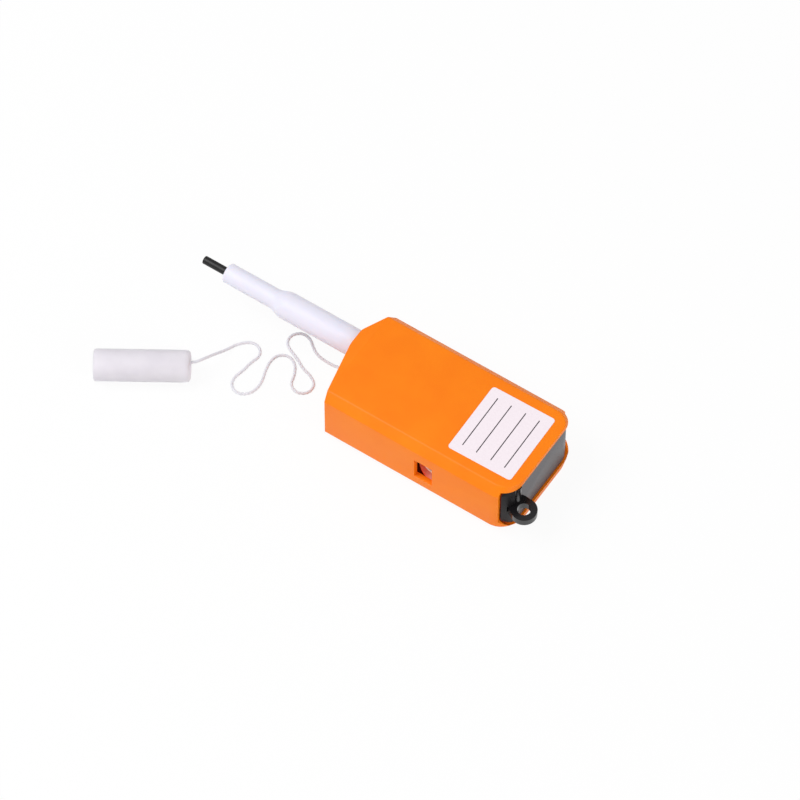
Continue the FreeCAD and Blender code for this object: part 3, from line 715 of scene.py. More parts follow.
@dataclass(frozen=True)
class TwistedYarn:
    """Yarn of fine filaments: soft, with a slight fuzz and uneven tone."""

    name: str
    base: str
    shadow: str
    fibre_mm: float = 0.35

    def make(self) -> Material:
        """Build the material's nodes."""
        made = Recipe(self.name)
        fibre = made.noise(self.fibre_mm, 3.0)
        made.feed("Base Color", made.two_tones(fibre, (0.32, self.shadow), (0.6, self.base)))
        made.emboss(fibre, 0.4, 0.05)
        made.put({"Roughness": 0.7, "Sheen Weight": 0.3})
        return made.material


@dataclass(frozen=True)
class PrintedFilm:
    """White label film with plain write-on rules, a fine paper tooth and a satin skin."""

    centre: Point
    turn_degrees: float
    name: str = "label film"
    base: str = "#F9EEF4"
    shadow: str = "#F4E8EF"
    ink: str = "#3A3238"
    tooth_mm: float = 0.5
    rules_mm: tuple[float, ...] = (-7.2, -2.6, 2.2, 6.8)
    rule_half_mm: float = 0.16
    rule_reach_mm: float = 9.4

    def rules(self, made: Recipe) -> NodeSocket:
        """Mark where the printed rules lie, in millimetres from the label's middle."""
        settings = {
            "vector_type": "TEXTURE",
            "Location": tuple(metres(self.centre)),
            "Rotation": (0.0, 0.0, math.radians(self.turn_degrees)),
            "Scale": (MM, MM, MM),
        }
        local = made.add("Mapping", settings, Vector=made.place())
        split = made.add("SeparateXYZ", None, Vector=local.outputs["Vector"])
        reach = made.add("Math", {"operation": "ABSOLUTE"}, i0=split.outputs["Y"])
        limit = {"operation": "LESS_THAN", 1: self.rule_reach_mm}
        inside = made.add("Math", limit, i0=reach.outputs[0])
        lines = []
        for station in self.rules_mm:
            near = {"operation": "COMPARE", 1: station, 2: self.rule_half_mm}
            lines.append(made.add("Math", near, i0=split.outputs["X"]).outputs[0])
        ink = greatest(made.tree, lines)
        return made.add("Math", {"operation": "MULTIPLY"}, i0=ink, i1=inside.outputs[0]).outputs[0]

    def make(self) -> Material:
        """Build the material's nodes."""
        made = Recipe(self.name)
        tooth = made.noise(self.tooth_mm, 3.0)
        tint = made.two_tones(tooth, (0.3, self.shadow), (0.65, self.base))
        ink = {"Color2": colour(self.ink)}
        printed = made.add("MixRGB", ink, Fac=self.rules(made), Color1=tint)
        made.feed("Base Color", printed.outputs["Color"])
        made.emboss(tooth, 0.12, 0.02)
        made.put({"Roughness": 0.5})
        return made.material


def dress(obj: Object, material: Material) -> None:
    """Give a piece one material all over."""
    if not obj.data.materials:
        obj.data.materials.append(material)
    for slot in obj.material_slots:
        slot.material = material


# --------------------------------------------------------------------------------------
# Sub-assemblies


def report(obj: Object) -> Object:
    """Log a finished piece and pass it on."""
    LOG.info("%s: %d faces", obj.name, len(obj.data.polygons))
    return obj


@dataclass
class CaseSleeve:
    """Orange outer sleeve: closed sloped nose, open rear, bevelled long edges, window."""

    front: float = -9.8
    near_front: float = -5.4
    far_front: float = -4.3
    rear: float = 57.2
    half_width: float = 17.8
    height: float = 20.5
    bevel: float = 2.5
    rear_radii: Pair = (6.5, 5.0)
    nose_low: float = 2.2
    nose_high: float = 7.9
    nose_radius: float = 0.7
    slope_length: float = 4.0
    slope_drop: float = 0.8
    side_cut: float = 3.8
    cut_low: float = 4.9
    lip: float = 2.3
    wall: float = 1.6
    floor: float = 2.0
    ceiling: float = 19.0
    inner_bevel: float = 1.8
    space_front: float = -3.8
    room: Pair = (-6.6, -2.8)
    room_side: float = 14.4
    room_near: Point = (-14.4, -2.8, 0.0)
    room_far: Point = (-4.3, 3.8, 0.0)
    cut_slope: Point = (-2.2, 0.0, -3.04)
    window: tuple[float, float, float, float] = (25.4, 31.4, 5.9, 13.9)
    window_rim: float = 0.25
    hole_length: float = 6.5
    nozzle_axis: Pair = (5.9, 14.2)
    nozzle_hole: float = 4.3
    cord_axis: Pair = (3.2, 4.6)
    cord_hole: float = 0.75
    long_round: float = 1.1
    edge_round: float = 0.45

    def outside(self) -> Object:
        """Model the solid outside of the sleeve."""
        half, top = self.half_width, self.height
        shell = block("case_sleeve_shell", (self.front, -half, 0.0), (self.rear, half, top))
        for side, radius in zip((-1, 1), self.rear_radii):
            bevel_where(shell, upright_edges(self.rear, side), radius, 14)
        near = (self.nose_low + half, self.near_front - self.front)
        far = (half - self.nose_high, self.far_front - self.front)
        cut_plane(shell, (self.near_front, -half, 0.0), (-near[0], -near[1], 0.0))
        cut_plane(shell, (self.far_front, half, 0.0), (-far[0], far[1], 0.0))
        bevel_where(shell, upright_edges(self.front), self.nose_radius, 3)
        add_loop(shell, self.bevel)
        add_loop(shell, top - self.bevel)
        for side, (across, along) in ((-1, near), (1, far)):
            self.lean(shell, side, True, 0.0)
            self.lean(shell, side, False, -self.bevel * along / across)
        crease = self.front + self.slope_length
        cut_plane(shell, (crease, 0.0, top), (-self.slope_drop, 0.0, self.slope_length))
        tidy_mesh(shell)
        soften(shell, self.long_round, self.edge_round)
        return shell

    def lean(self, shell: Object, side: int, behind: bool, along: float) -> None:
        """Lean one side's upper and lower edges inwards by the bevel.

        Args:
            shell: The sleeve.
            side: -1 for the window side, 1 for the far side.
            behind: True for the vertices behind the nose, False for the corner at the nose.
            along: Move along X that keeps the corner on the nose's facet.
        """

        def wanted(place: Vector) -> bool:
            outer = place.z < NEAR or place.z > self.height - NEAR
            return outer and side * place.y > SIDE_ZONE and (place.x > 0.0) == behind

        slide(shell, wanted, (along, -side * self.bevel, 0.0))

    def hollow(self) -> Object:
        """Model the space inside the walls as one solid."""
        inner = self.half_width - self.wall
        end = self.rear + 2 * SPARE
        space = block("space", (self.space_front, -inner, self.floor), (end, inner, self.ceiling))
        for side in (-1, 1):
            for level, up in ((self.ceiling, 1), (self.floor, -1)):
                cut_plane(space, (0.0, side * (inner - self.inner_bevel), level), (0.0, side, up))
        return space

    def nose_room(self) -> Object:
        """Model the space behind the nose wall, which narrows with the nose's two facets."""
        front, rear = self.room
        side = self.room_side
        room = block("room", (front, -side, self.floor), (rear, side, self.ceiling))
        cut_plane(room, (self.space_front, -side, 0.0), self.room_near)
        cut_plane(room, (rear, side, 0.0), self.room_far)
        return room

    def rear_opening(self) -> Object:
        """Model the cut that opens the rear and both rear corners."""
        half = self.half_width + SPARE
        start = self.rear - self.side_cut
        near, far = (start, -half, self.lip), (self.rear + 2 * SPARE, half, self.ceiling)
        opening = block("opening", near, far)
        cut_plane(opening, (start, 0.0, self.cut_low), self.cut_slope)
        return opening

    def window_cut(self) -> Object:
        """Model the window with a small chamfer at its outer rim."""
        left, right, low, high = self.window
        rim_size, skin = self.window_rim, -self.half_width
        cutter = block("window", (left, skin - SPARE, low), (right, skin + 4 * SPARE, high))
        rim = block(
            "rim",
            (left - rim_size, skin - SPARE, low - rim_size),
            (right + rim_size, skin + rim_size, high + rim_size),
        )
        long, tall = right - left, high - low
        with editing(rim, "FACE") as mesh:
            choose(rim, mesh.faces, lambda face: face.normal.y > 0.9)
            bpy.ops.transform.resize(
                value=(long / (long + 2 * rim_size), 1.0, tall / (tall + 2 * rim_size)),
                center_override=metres(((left + right) / 2, skin + rim_size, (low + high) / 2)),
            )
        weld(cutter, rim)
        return cutter

    def paint_glow_on_walls(self, shell: Object, skin: MouldedPlastic) -> None:
        """Give the faces inside the walls their own finish, a painted orange glow that stands for
        light coming through the plastic.
        """
        shell.data.materials.append(skin.make())
        inner = (self.half_width - self.wall + 0.1) * MM
        end = (self.rear - self.side_cut) * MM
        # Upright faces inside the walls, short of the rear cut and off the nose, get the painted
        # glow.
        for face in shell.data.polygons:
            middle = face.center
            upright = abs(face.normal.z) < 0.1
            outer_nose = middle.x < 0.0 and face.normal.x < -0.1
            if abs(middle.y) < inner and middle.x < end and upright and not outer_nose:
                face.material_index = 1

    def build(self, plastic: MouldedPlastic, skin: MouldedPlastic) -> Object:
        """Model and dress the sleeve.

        Args:
            plastic: Finish of the moulding.
            skin: Finish of its inner faces, a painted glow that stands for light through the
                plastic.

        Returns:
            The finished piece, on the case.
        """
        shell = self.outside()
        start, long = self.front - 2 * SPARE, self.hole_length
        bore = rod("bore", (start, *self.nozzle_axis), Axis.X, long, self.nozzle_hole, 72)
        eyelet = rod("eyelet", (start, *self.cord_axis), Axis.X, long, self.cord_hole, 24)
        carve(shell, self.hollow(), self.nose_room(), self.rear_opening(), self.window_cut())
        carve(shell, bore, eyelet)
        tidy_mesh(shell, 0.002)
        shade(shell, 26.0)
        dress(shell, plastic.make())
        # Painted glow on the inner walls, standing for light through the orange plastic.
        self.paint_glow_on_walls(shell, skin)
        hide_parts("case_sleeve")
        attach(shell, Body.CASE.value)
        return report(shell)


@dataclass
class Chassis:
    """Dark inner moulding: floor, bosses, spring stop and the end block seen at the rear."""

    front: float = 50.2
    shoulder: float = 53.9
    back: float = 56.75
    skin: float = 17.35
    flank: float = 14.3
    low: float = 2.1
    top: float = 18.9
    corner: float = 6.05
    lean_level: float = 17.8
    block_low: float = 2.8
    foot_level: float = 5.4
    foot_slope: Point = (-2.55, 0.0, -2.64)
    round_edge: float = 0.3
    pocket: tuple[Point, Point] = ((49.2, -8.5, 4.9), (54.55, 11.3, 17.3))
    walls: tuple[tuple[Point, Point], ...] = (
        ((-2.5, -14.3, 2.1), (51.2, 14.3, 3.1)),
        ((50.2, -14.3, 2.1), (54.4, 14.3, 5.9)),
        ((0.0, 10.9, 2.1), (40.0, 14.3, 16.2)),
        ((38.0, 2.9, 2.1), (40.0, 14.3, 17.6)),
    )
    lid_pillars: tuple[Pair, ...] = ((-0.7, -12.6), (46.5, -12.2), (45.0, 5.0))
    lid_pillar: Pair = (15.5, 1.7)
    axles_along: Pair = (31.2, 9.5)
    axles_across: float = -5.5
    axle_boss: Pair = (1.3, 2.2)
    axle_seat: Pair = (1.0, 6.0)
    axle_radius: float = 1.0
    side_top: float = 21.0
    pawl_pillar: tuple[float, ...] = (20.35, -13.0, 11.1, 1.3)

    def end_block(self) -> Object:
        """Model the end block with its rounded, leaning corners and sloped foot."""
        near, far = (self.front, -self.skin, self.block_low), (self.back, self.skin, self.top)
        body = block("chassis_moulding", near, far)
        bevel_where(body, upright_edges(self.back), self.corner, 14)
        add_loop(body, self.lean_level)
        for side in (-1, 1):

            def wanted(place: Vector) -> bool:
                return place.z > self.top - NEAR and side * place.y > SIDE_ZONE

            slide(body, wanted, (0.0, side * (self.lean_level - self.top), 0.0))
        cut_plane(body, (self.shoulder, 0.0, self.foot_level), self.foot_slope)
        tidy_mesh(body)
        ease_edges(body, self.round_edge, 2)
        for side in (-1, 1):
            low, high = sorted((side * self.flank, side * (self.skin + 2 * SPARE)))
            near, far = (self.front - 2 * SPARE, low, 0.0), (self.shoulder, high, self.side_top)
            carve(body, block("side", near, far))
        return body

    def pillar(self, along: float, across: float, tall: float, radius: float) -> Object:
        """Model a round pillar on the floor of the moulding, with all sizes in millimetres."""
        return rod("pillar", (along, across, self.low), Axis.Z, tall, radius, 32)

    def paint_corner_shade(self, body: Object, corner: MouldedPlastic) -> None:
        """Paint shade on the rounded corner beside the strap ring, as a darker grey on its faces.
        """
        body.data.materials.append(corner.make())
        # Faces of the end block's near rounded corner get the painted shade.
        edge = (self.corner - self.skin - 0.05) * MM
        for face in body.data.polygons:
            if face.center.x > (self.shoulder - 0.1) * MM and face.center.y < edge:
                face.material_index = 1

    def build(self, plastic: MouldedPlastic, corner: MouldedPlastic, ring: "StrapRing") -> Object:
        """Model and dress the chassis.

        Args:
            plastic: Finish of the moulding.
            corner: Darker grey painted on the rounded corner beside the strap ring as its shade.
            ring: The eyelet that the end block makes room for.

        Returns:
            The finished piece, on the case.
        """
        body = self.end_block()
        carve(body, block("pocket", *self.pocket), *ring.seat())
        weld(body, *[block("wall", *corners) for corners in self.walls])
        for along, across in self.lid_pillars:
            weld(body, self.pillar(along, across, *self.lid_pillar))
        for along in self.axles_along:
            weld(body, self.pillar(along, self.axles_across, *self.axle_boss))
            level, deep = self.axle_seat
            seat = (along, self.axles_across, level)
            carve(body, rod("seat", seat, Axis.Z, deep, self.axle_radius, 32))
        weld(body, self.pillar(*self.pawl_pillar))
        tidy_mesh(body, 0.002)
        shade(body, 26.0)
        dress(body, plastic.make())
        self.paint_corner_shade(body, corner)
        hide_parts("chassis")
        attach(body, Body.CASE.value)
        return report(body)


@dataclass
class StrapRing:
    """Black eyelet for a wrist strap, with an upright post at its root in the rear panel."""

    centre: Pair = (59.65, -13.2)
    radius: float = 3.85
    hole: float = 1.95
    low: float = 9.7
    top: float = 12.0
    far_root: Pair = (56.5, -9.05)
    near_root: Pair = (55.2, -15.2)
    far_flank: Pair = (0.3, 3.83)
    near_flank: Pair = (2.0, 3.2725)
    root_round: float = 1.1
    clearance: float = 0.05
    post: Pair = (56.05, -11.7)
    post_radius: float = 1.43
    post_top: float = 18.9
    post_sunk: float = 0.4
    post_seat: float = 10.0
    edge_round: float = 0.42

    def root(self, grow: float) -> list[Pair]:
        """Outline of the root, from the near flank of the ring round its two corners.

        Args:
            grow: Margin all round in millimetres.
        """
        along, across = self.centre
        return [
            (along - self.far_flank[0], across + self.far_flank[1] + grow),
            (self.far_root[0] - grow, self.far_root[1] + grow),
            (self.near_root[0] - grow, self.near_root[1] - grow),
            (along - self.near_flank[0], across - self.near_flank[1] - grow),
        ]

    def seat(self) -> list[Object]:
        """Model the tools that make room for the ring's root and post in the rear panel."""
        gap = self.clearance
        slot = prism("slot", self.root(gap), self.low - gap, self.top + gap)
        base = (*self.post, self.low - gap)
        return [slot, rod("post", base, Axis.Z, self.post_seat, self.post_radius + gap, 40)]

    def build(self, plastic: MouldedPlastic) -> Object:
        """Model and dress the ring.

        Args:
            plastic: Finish of the moulding.

        Returns:
            The finished piece, on the case.
        """
        tab = prism("strap_ring_eyelet", self.root(0.0), self.low, self.top)

        def root_corner(edge: BMEdge) -> bool:
            start, end = (vertex.co for vertex in edge.verts)
            return (start - end).xy.length < WELD and start.x < (self.far_root[0] + 0.1) * MM

        bevel_where(tab, root_corner, self.root_round, 6)
        thick = self.top - self.low
        weld(tab, rod("disc", (*self.centre, self.low), Axis.Z, thick, self.radius, 72))
        carve(tab, rod("hole", (*self.centre, self.low - 1), Axis.Z, thick + 2, self.hole, 56))
        tidy_mesh(tab)
        ease_edges(tab, self.edge_round, 4, 50.0)
        foot = self.low + self.post_sunk
        tall = self.post_top - foot
        weld(tab, rod("post", (*self.post, foot), Axis.Z, tall, self.post_radius, 48))
        tidy_mesh(tab, 0.002)
        shade(tab, 30.0)
        dress(tab, plastic.make())
        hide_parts("strap_ring")
        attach(tab, Body.CASE.value)
        return report(tab)


@dataclass
class Label:
    """Blank write-on sticker with rounded corners, a little askew on the top face."""

    centre: Point = (43.3, 0.0, 20.5)
    long: float = 21.0
    wide: float = 24.4
    thick: float = 0.12
    corner: float = 0.96
    turn: float = 0.9

    def build(self) -> Object:
        """Model and dress the label, on the case."""
        half_long, half_wide = self.long / 2, self.wide / 2
        near, far = (-half_long, -half_wide, 0.0), (half_long, half_wide, self.thick)
        sheet = block("label_sticker", near, far)
        for station in (-half_long, half_long):
            bevel_where(sheet, upright_edges(station), self.corner, 6)
        ease_edges(sheet, 0.03, 1, 50.0)
        sheet.data.transform(laid(self.centre, self.turn))
        shade(sheet, 40.0)
        dress(sheet, PrintedFilm(self.centre, self.turn).make())
        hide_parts("label")
        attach(sheet, Body.CASE.value)
        return report(sheet)


@dataclass
class Plunger:
    """Sliding group: stepped white nozzle and the black tip in its end."""

    axis: Pair = (5.9, 14.2)
    nozzle_front: float = -55.4
    tip_end: float = -63.5
    neck: float = 3.05
    stem: float = 4.2
    flare: Pair = (16.4, 21.2)
    flare_steps: int = 12
    mouth_corners: tuple[Corner, ...] = ((0.0, 1.27, 0.12), (0.0, 3.05, 0.75))
    inner_corners: tuple[Corner, ...] = (
        (57.4, 4.2, 0.2), (57.4, 3.3, 0.0), (61.0, 3.3, 0.3), (61.0, 2.3, 0.0),
        (24.0, 2.3, 0.0), (24.0, 1.2, 0.0), (22.5, 1.2, 0.0), (22.5, 2.0, 0.0),
        (12.0, 2.0, 0.0), (12.0, 1.6, 0.0), (0.8, 1.6, 0.0), (0.8, 1.27, 0.0),
    )
    tip_corners: tuple[Corner, ...] = (
        (0.0, 0.8, 0.05), (0.0, 1.25, 0.2), (8.9, 1.25, 0.0), (8.9, 1.59, 0.0),
        (20.1, 1.59, 0.0), (20.1, 0.8, 0.0),
    )
    spring: Pair = (13.0, 38.0)
    stroke: float = 8.0

    def nozzle(self, plastic: MouldedPlastic) -> Object:
        """Model and dress the nozzle.

        Args:
            plastic: Finish of the moulding.

        Returns:
            The finished piece, on the plunger.
        """
        start, end = self.flare
        slope = []
        for step in range(self.flare_steps + 1):
            share = step / self.flare_steps
            blend = share * share * (3 - 2 * share)
            radius = self.neck + (self.stem - self.neck) * blend
            slope.append((start + (end - start) * share, radius, 0.0))
        profile = rounded_profile([*self.mouth_corners, *slope, *self.inner_corners], 6)
        piece = turned("nozzle_barrel", profile, laid((self.nozzle_front, *self.axis)), 96)
        shade(piece, 30.0)
        dress(piece, plastic.make())
        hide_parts("nozzle")
        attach(piece, Body.PLUNGER.value)
        return report(piece)

    def tip(self, plastic: MouldedPlastic) -> Object:
        """Model and dress the black tip.

        Args:
            plastic: Finish of the moulding.

        Returns:
            The finished piece, on the plunger.
        """
        profile = rounded_profile(self.tip_corners, 4)
        piece = turned("tip_tube", profile, laid((self.tip_end, *self.axis)), 64)
        shade(piece, 30.0)
        dress(piece, plastic.make())
        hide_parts("tip_sleeve")
        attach(piece, Body.PLUNGER.value)
        return report(piece)

    def compress(self, spring: Object) -> None:
        """Give the return spring a mesh of its own.

        Args:
            spring: The spring, on the plunger.
        """
        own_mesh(spring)


@dataclass
class DustCap:
    """Frosted cap on the end of the cord."""

    mouth: Point = (-73.0, -37.1, 4.75)
    turn: float = 32.75
    hole_up: float = 2.0
    hole_start: float = 22.0
    hole_size: Pair = (10.0, 0.75)
    bead_start: float = 24.0
    bead_seat: Pair = (3.25, 1.05)
    corners: tuple[Corner, ...] = (
        (0.0, 3.5, 0.25), (0.0, 4.75, 1.05), (28.2, 4.75, 1.8), (28.2, 0.0, 0.0),
        (25.2, 0.0, 0.0), (25.2, 3.15, 0.4), (3.6, 3.15, 0.1), (3.6, 3.5, 0.0),
    )

    def build(self, finish: FrostedPolythene) -> Object:
        """Model and dress the cap.

        Args:
            finish: Finish of the moulding.

        Returns:
            The finished piece, on the case.
        """
        piece = turned("cap_tube", rounded_profile(self.corners, 6), Matrix.Identity(4), 96)
        carve(
            piece,
            rod("hole", (self.hole_start, 0.0, self.hole_up), Axis.X, *self.hole_size, 24),
            rod("seat", (self.bead_start, 0.0, self.hole_up), Axis.X, *self.bead_seat, 32),
        )
        tidy_mesh(piece, 0.002)
        piece.data.transform(laid(self.mouth, self.turn))
        shade(piece, 30.0)
        dress(piece, finish.make())
        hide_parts("dust_cap")
        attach(piece, Body.CASE.value)
        return report(piece)


@dataclass
class TetherCord:
    """Thin three-ply cord that lies on the table in loose curves from the case to the cap."""

    diameter: float = 0.9
    length: float = 137.8
    ply_radius: float = 0.27
    ply_reach: float = 0.2
    lay_length: float = 3.6
    exit: Point = (-9.8, 3.2, 4.6)
    falling: tuple[Point, ...] = ((-12.6, 3.1, 2.9), (-15.5, 3.3, 1.2))
    lying: tuple[Pair, ...] = (
        (-18.6, 3.5), (-22.1, 3.8), (-24.9, 5.2), (-27.5, 7.6), (-30.7, 8.1),
        (-33.1, 5.7), (-32.6, 2.4), (-29.6, 0.8), (-26.5, -0.4), (-23.7, -2.2),
        (-20.4, -3.0), (-17.5, -4.9), (-17.4, -8.3), (-20.2, -10.3), (-23.4, -9.1),
        (-24.4, -5.2), (-26.2, -2.3), (-29.1, -0.7), (-32.1, -2.0), (-33.0, -4.9),
        (-32.4, -8.4), (-31.2, -11.5), (-30.6, -14.7), (-31.6, -18.2), (-34.5, -20.0),
        (-37.5, -18.8), (-38.5, -15.8), (-37.6, -12.3), (-37.4, -9.2), (-36.3, -5.4),
        (-38.3, -2.9), (-41.5, -2.8), (-44.4, -5.9),
    )
    rising: tuple[Point, ...] = (
        (-45.37, -8.93, 0.9), (-46.16, -11.88, 2.2), (-46.66, -14.76, 4.0), (-46.98, -17.39, 5.6),
        (-47.55, -19.62, 6.5), (-48.48, -21.33, 6.75), (-50.08, -22.36, 6.75),
    )

    def route(self) -> list[Point]:
        """List the route's corners in millimetres, from the case over the table to the cap."""
        lying = [(along, across, self.diameter / 2) for along, across in self.lying]
        return [self.exit, *self.falling, *lying, *self.rising]

    def centreline(self) -> list[Vector]:
        """Lay the route's NURBS spline and read points along it, in metres."""
        data = bpy.data.curves.new("cord_route", "CURVE")
        data.dimensions = "3D"
        spline = data.splines.new("NURBS")
        route = self.route()
        spline.points.add(len(route) - 1)
        for knot, point in zip(spline.points, route):
            knot.co = (*metres(point), 1.0)
        spline.order_u = 3
        spline.use_endpoint_u = True
        spline.resolution_u = 14
        guide = bpy.data.objects.new("cord_route", data)
        bpy.context.scene.collection.objects.link(guide)
        line = bpy.data.meshes.new_from_object(guide)
        points = [vertex.co.copy() for vertex in line.vertices]
        bpy.data.objects.remove(guide, do_unlink=True)
        bpy.data.meshes.remove(line)
        bpy.data.curves.remove(data)
        return points

    def ply(self, line: Sequence[Vector], phase: float) -> Object:
        """Model one ply that winds round the centreline.

        Args:
            line: Points of the centreline in metres.
            phase: Angle that the ply starts at.

        Returns:
            The ply, as a mesh.
        """
        reach = self.ply_reach * MM
        across = Vector((0.0, 0.0, 1.0))
        run = 0.0
        path = []
        for index, point in enumerate(line):
            ahead = line[min(index + 1, len(line) - 1)] - line[max(index - 1, 0)]
            across = (across - across.project(ahead)).normalized()
            other = ahead.normalized().cross(across)
            if index:
                run += (point - line[index - 1]).length
            angle = phase + 2 * math.pi * run / (self.lay_length * MM)
            path.append(point + (across * math.cos(angle) + other * math.sin(angle)) * reach)
        data = bpy.data.curves.new("ply", "CURVE")
        data.dimensions = "3D"
        data.bevel_depth = self.ply_radius * MM
        data.bevel_resolution = 2
        data.use_fill_caps = True
        spline = data.splines.new("POLY")
        spline.points.add(len(path) - 1)
        for knot, point in zip(spline.points, path):
            knot.co = (*point, 1.0)
        obj = bpy.data.objects.new("ply", data)
        bpy.context.scene.collection.objects.link(obj)
        select(obj)
        bpy.ops.object.convert(target="MESH")
        return bpy.context.object

    def build(self, yarn: TwistedYarn, with_pieces: Sequence[Object]) -> Object:
        """Args:
            yarn: Finish of the plies.
            with_pieces: The cap and the beads on the cord; not used.

        Returns:
            The finished piece, on the case.
        """
        line = self.centreline()
        plies = [self.ply(line, turn * 2 * math.pi / 3) for turn in range(3)]
        select(plies[0])
        for piece in plies:
            piece.select_set(True)
        bpy.ops.object.join()
        cord = bpy.context.object
        cord.name = cord.data.name = "tether_cord_plies"
        shade(cord, 60.0)
        dress(cord, yarn.make())
        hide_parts("tether_cord")
        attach(cord, Body.CASE.value)
        return report(cord)


# --------------------------------------------------------------------------------------
# Studio


WHITE_LIGHT = (1.0, 1.0, 1.0, 1.0)
SEEN_RAYS = ("Is Camera Ray", "Is Transmission Ray")


@dataclass
class Studio:
    """Camera, white floor and soft lamps."""

    eye: Point = (486.7, -721.9, 1324.6)
    right: Point = (0.8338, 0.5521, 0.0)
    up: Point = (-0.4612, 0.6966, 0.5496)
    back: Point = (0.3034, -0.4582, 0.8354)
    roll: float = 0.24
    lens: float = 247.05
    floor_half: float = 3000.0
    gap: float = 0.02
    whiteness: float = 0.93
    sky_strength: float = 0.46

    def camera(self) -> None:
        """Place the camera."""
        data = bpy.data.cameras.new("camera")
        data.lens = self.lens
        data.sensor_width = 36.0
        data.clip_start, data.clip_end = 0.05, 20.0
        view = bpy.data.objects.new("camera", data)
        bpy.context.scene.collection.objects.link(view)
        axes = Matrix((self.right, self.up, self.back)).transposed().to_4x4()
        roll = Matrix.Rotation(math.radians(self.roll), 4, "Z")
        view.matrix_world = Matrix.Translation(metres(self.eye)) @ axes @ roll
        bpy.context.scene.camera = view

    def floor(self) -> None:
        """Lay the white floor: pale where the camera looks, with the pen's faint shadow."""
        deselect()
        level = metres((0.0, 0.0, -self.gap))
        bpy.ops.mesh.primitive_plane_add(size=2 * self.floor_half * MM, location=level)
        sheet = adopt("table_top")
        made = Recipe("matt white table top")
        made.put({"Base Color": colour("#F4F4F4"), "Roughness": 0.9})
        white = made.add("Emission", {"Color": WHITE_LIGHT, "Strength": 1.0})
        path = made.add("LightPath")
        seen = greatest(made.tree, [path.outputs[ray] for ray in (*SEEN_RAYS, "Is Glossy Ray")])
        share = made.add("Math", {"operation": "MULTIPLY", 1: self.whiteness}, i0=seen)
        shaders = (made.surface.outputs["BSDF"], white.outputs["Emission"])
        mix = made.add("MixShader", None, Fac=share.outputs[0], i1=shaders[0], i2=shaders[1])
        made.tree.links.new(mix.outputs["Shader"], made.output.inputs["Surface"])
        dress(sheet, made.material)

    def lamp(self, name: str, place: Point, size: float, power: float) -> None:
        """Hang a soft square lamp that faces the pen.

        Args:
            name: Name of the lamp.
            place: Its centre in millimetres.
            size: Its side in millimetres.
            power: Its power in watts.
        """
        data = bpy.data.lights.new(name, "AREA")
        data.shape = "SQUARE"
        data.size = size * MM
        data.energy = power
        lamp = bpy.data.objects.new(name, data)
        bpy.context.scene.collection.objects.link(lamp)
        facing = metres(place).to_track_quat("Z", "Y")
        lamp.matrix_world = Matrix.Translation(metres(place)) @ facing.to_matrix().to_4x4()

    def sky(self) -> None:
        """Light the studio evenly from all round."""
        world = bpy.data.worlds.new("studio")
        bpy.context.scene.world = world
        world.use_nodes = True
        tree = world.node_tree
        tree.nodes.clear()
        path = node(tree, "LightPath")
        seen = greatest(tree, [path.outputs[ray] for ray in SEEN_RAYS])
        level = node(tree, "MapRange", {"To Min": self.sky_strength, "To Max": 1.0}, Value=seen)
        back = node(tree, "Background", {"Color": WHITE_LIGHT}, Strength=level.outputs["Result"])
        node(tree, "OutputWorld", Surface=back.outputs["Background"])

    def build(self) -> None:
        """Set up the whole studio."""
        self.camera()
        self.floor()
        self.sky()
        self.lamp("key", (-500.0, -350.0, 900.0), 700.0, 7.4)
        self.lamp("fill", (900.0, -250.0, 450.0), 600.0, 3.0)
        bpy.context.scene.view_settings.view_transform = "Standard"


# --------------------------------------------------------------------------------------
# Finishes and making

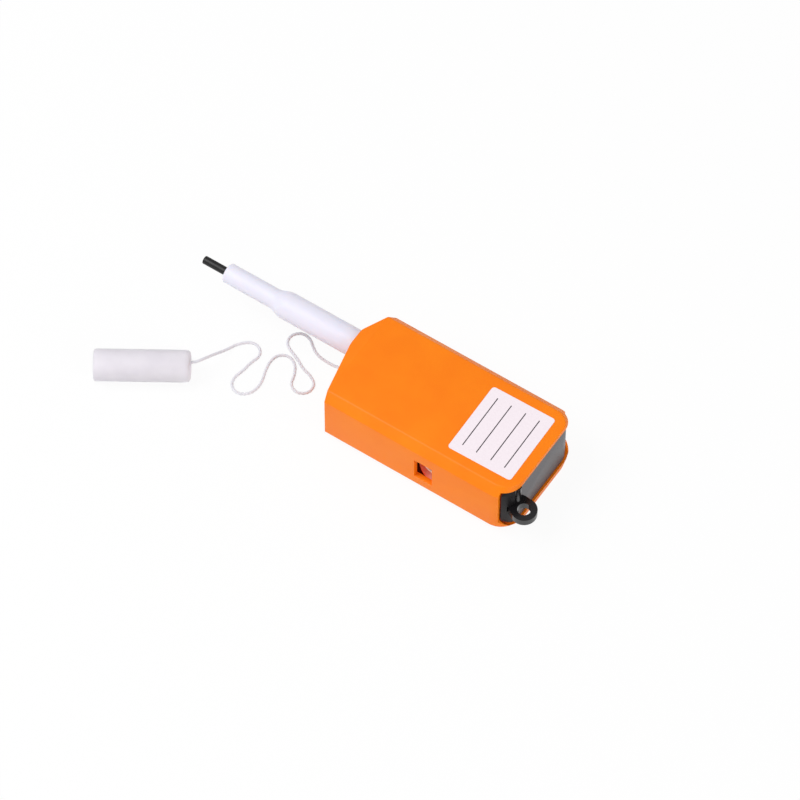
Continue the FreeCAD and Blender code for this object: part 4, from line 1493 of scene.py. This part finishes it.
ORANGE = MouldedPlastic(
    "moulded orange ABS", "#FF860B", "#FC7F08", grain_depth=0.03, translucency=0.08, shine=0.2
)
# Inner walls of the sleeve: darker orange with a painted glow that stands for light coming through
# the orange plastic.
ORANGE_WALLS_PAINTED_GLOW = MouldedPlastic(
    "inner orange walls with painted glow",
    "#D8400A",
    "#C83806",
    roughness=0.5,
    shine=0.2,
    painted_glow="#D03408",
    painted_glow_strength=1.9,
)
GREY = MouldedPlastic("moulded dark grey ABS", "#352F36", "#302B31", roughness=0.34, shine=0.4)
# Painted shade: the rounded near corner of the rear panel gets this much darker grey to stand for
# the shade it shows.
CORNER_PAINTED_SHADE_GREY = MouldedPlastic(
    "dark grey with painted corner shade", "#181517", "#151214", roughness=0.5, shine=0.2
)
BLACK = MouldedPlastic("glossy black ABS", "#19171A", "#131113", roughness=0.2, grain_depth=0.04)
WHITE = MouldedPlastic(
    "white acetal",
    "#EAE8F5",
    "#E6E4F2",
    roughness=0.4,
    grain_depth=0.05,
    translucency=0.45,
    shine=0.25,
)
TIP_BLACK = MouldedPlastic("matt black acetal", "#111012", "#0D0C0E", roughness=0.45, shine=0.4)
NATURAL = MouldedPlastic("natural acetal", "#F0DCCB", "#E8D2C0", roughness=0.38, translucency=0.15)
STEEL = DrawnSteel("ground steel")
SPRING = DrawnSteel("drawn spring steel", "#84868C", 0.24)
PVC = MouldedPlastic("clear PVC bead", "#E4E2E6", "#D9D7DC", roughness=0.3, translucency=0.2)
CORD_YARN = TwistedYarn("twisted polyester cord", "#E6E5EB", "#DBDAE1")
CLEANING_YARN = TwistedYarn("micro-fibre cleaning thread", "#F4F2F4", "#DEDBE0", 0.2)
FROSTED = FrostedPolythene()

CARRIED = {
    "chassis_lid": GREY,
    "lid_screws": STEEL,
    "takeup_reel": NATURAL,
    "supply_reel": NATURAL,
    "takeup_axle": STEEL,
    "supply_axle": STEEL,
    "drive_gear": NATURAL,
    "thread_guide_pins": STEEL,
    "ratchet_pawl": NATURAL,
    "pawl_pin": STEEL,
    "carriage": WHITE,
    "tip_spring": SPRING,
    "return_spring": SPRING,
    "takeup_thread": CLEANING_YARN,
    "supply_thread": CLEANING_YARN,
    "cleaning_tip": NATURAL,
    "nose_cord_bead": PVC,
    "cap_cord_bead": PVC,
}


def main() -> None:
    """Build the pen in its studio."""
    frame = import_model()
    Studio().build()
    cap = DustCap().build(FROSTED)
    beads = [frame["nodes"]["nose_cord_bead"], frame["nodes"]["cap_cord_bead"]]
    TetherCord().build(CORD_YARN, [cap, *beads])
    CaseSleeve().build(ORANGE, ORANGE_WALLS_PAINTED_GLOW)
    ring = StrapRing()
    # The second finish paints shade on the rounded corner beside the strap ring.
    Chassis().build(GREY, CORNER_PAINTED_SHADE_GREY, ring)
    ring.build(BLACK)
    Label().build()
    plunger = Plunger()
    plunger.nozzle(WHITE)
    plunger.tip(TIP_BLACK)
    made: dict[str, Material] = {}
    for name, finish in CARRIED.items():
        if finish.name not in made:
            made[finish.name] = finish.make()
        dress(frame["nodes"][name], made[finish.name])
        LOG.info("%s: carried over in %s", name, finish.name)
    plunger.compress(frame["nodes"]["return_spring"])


if __name__ == "__main__":
    main()
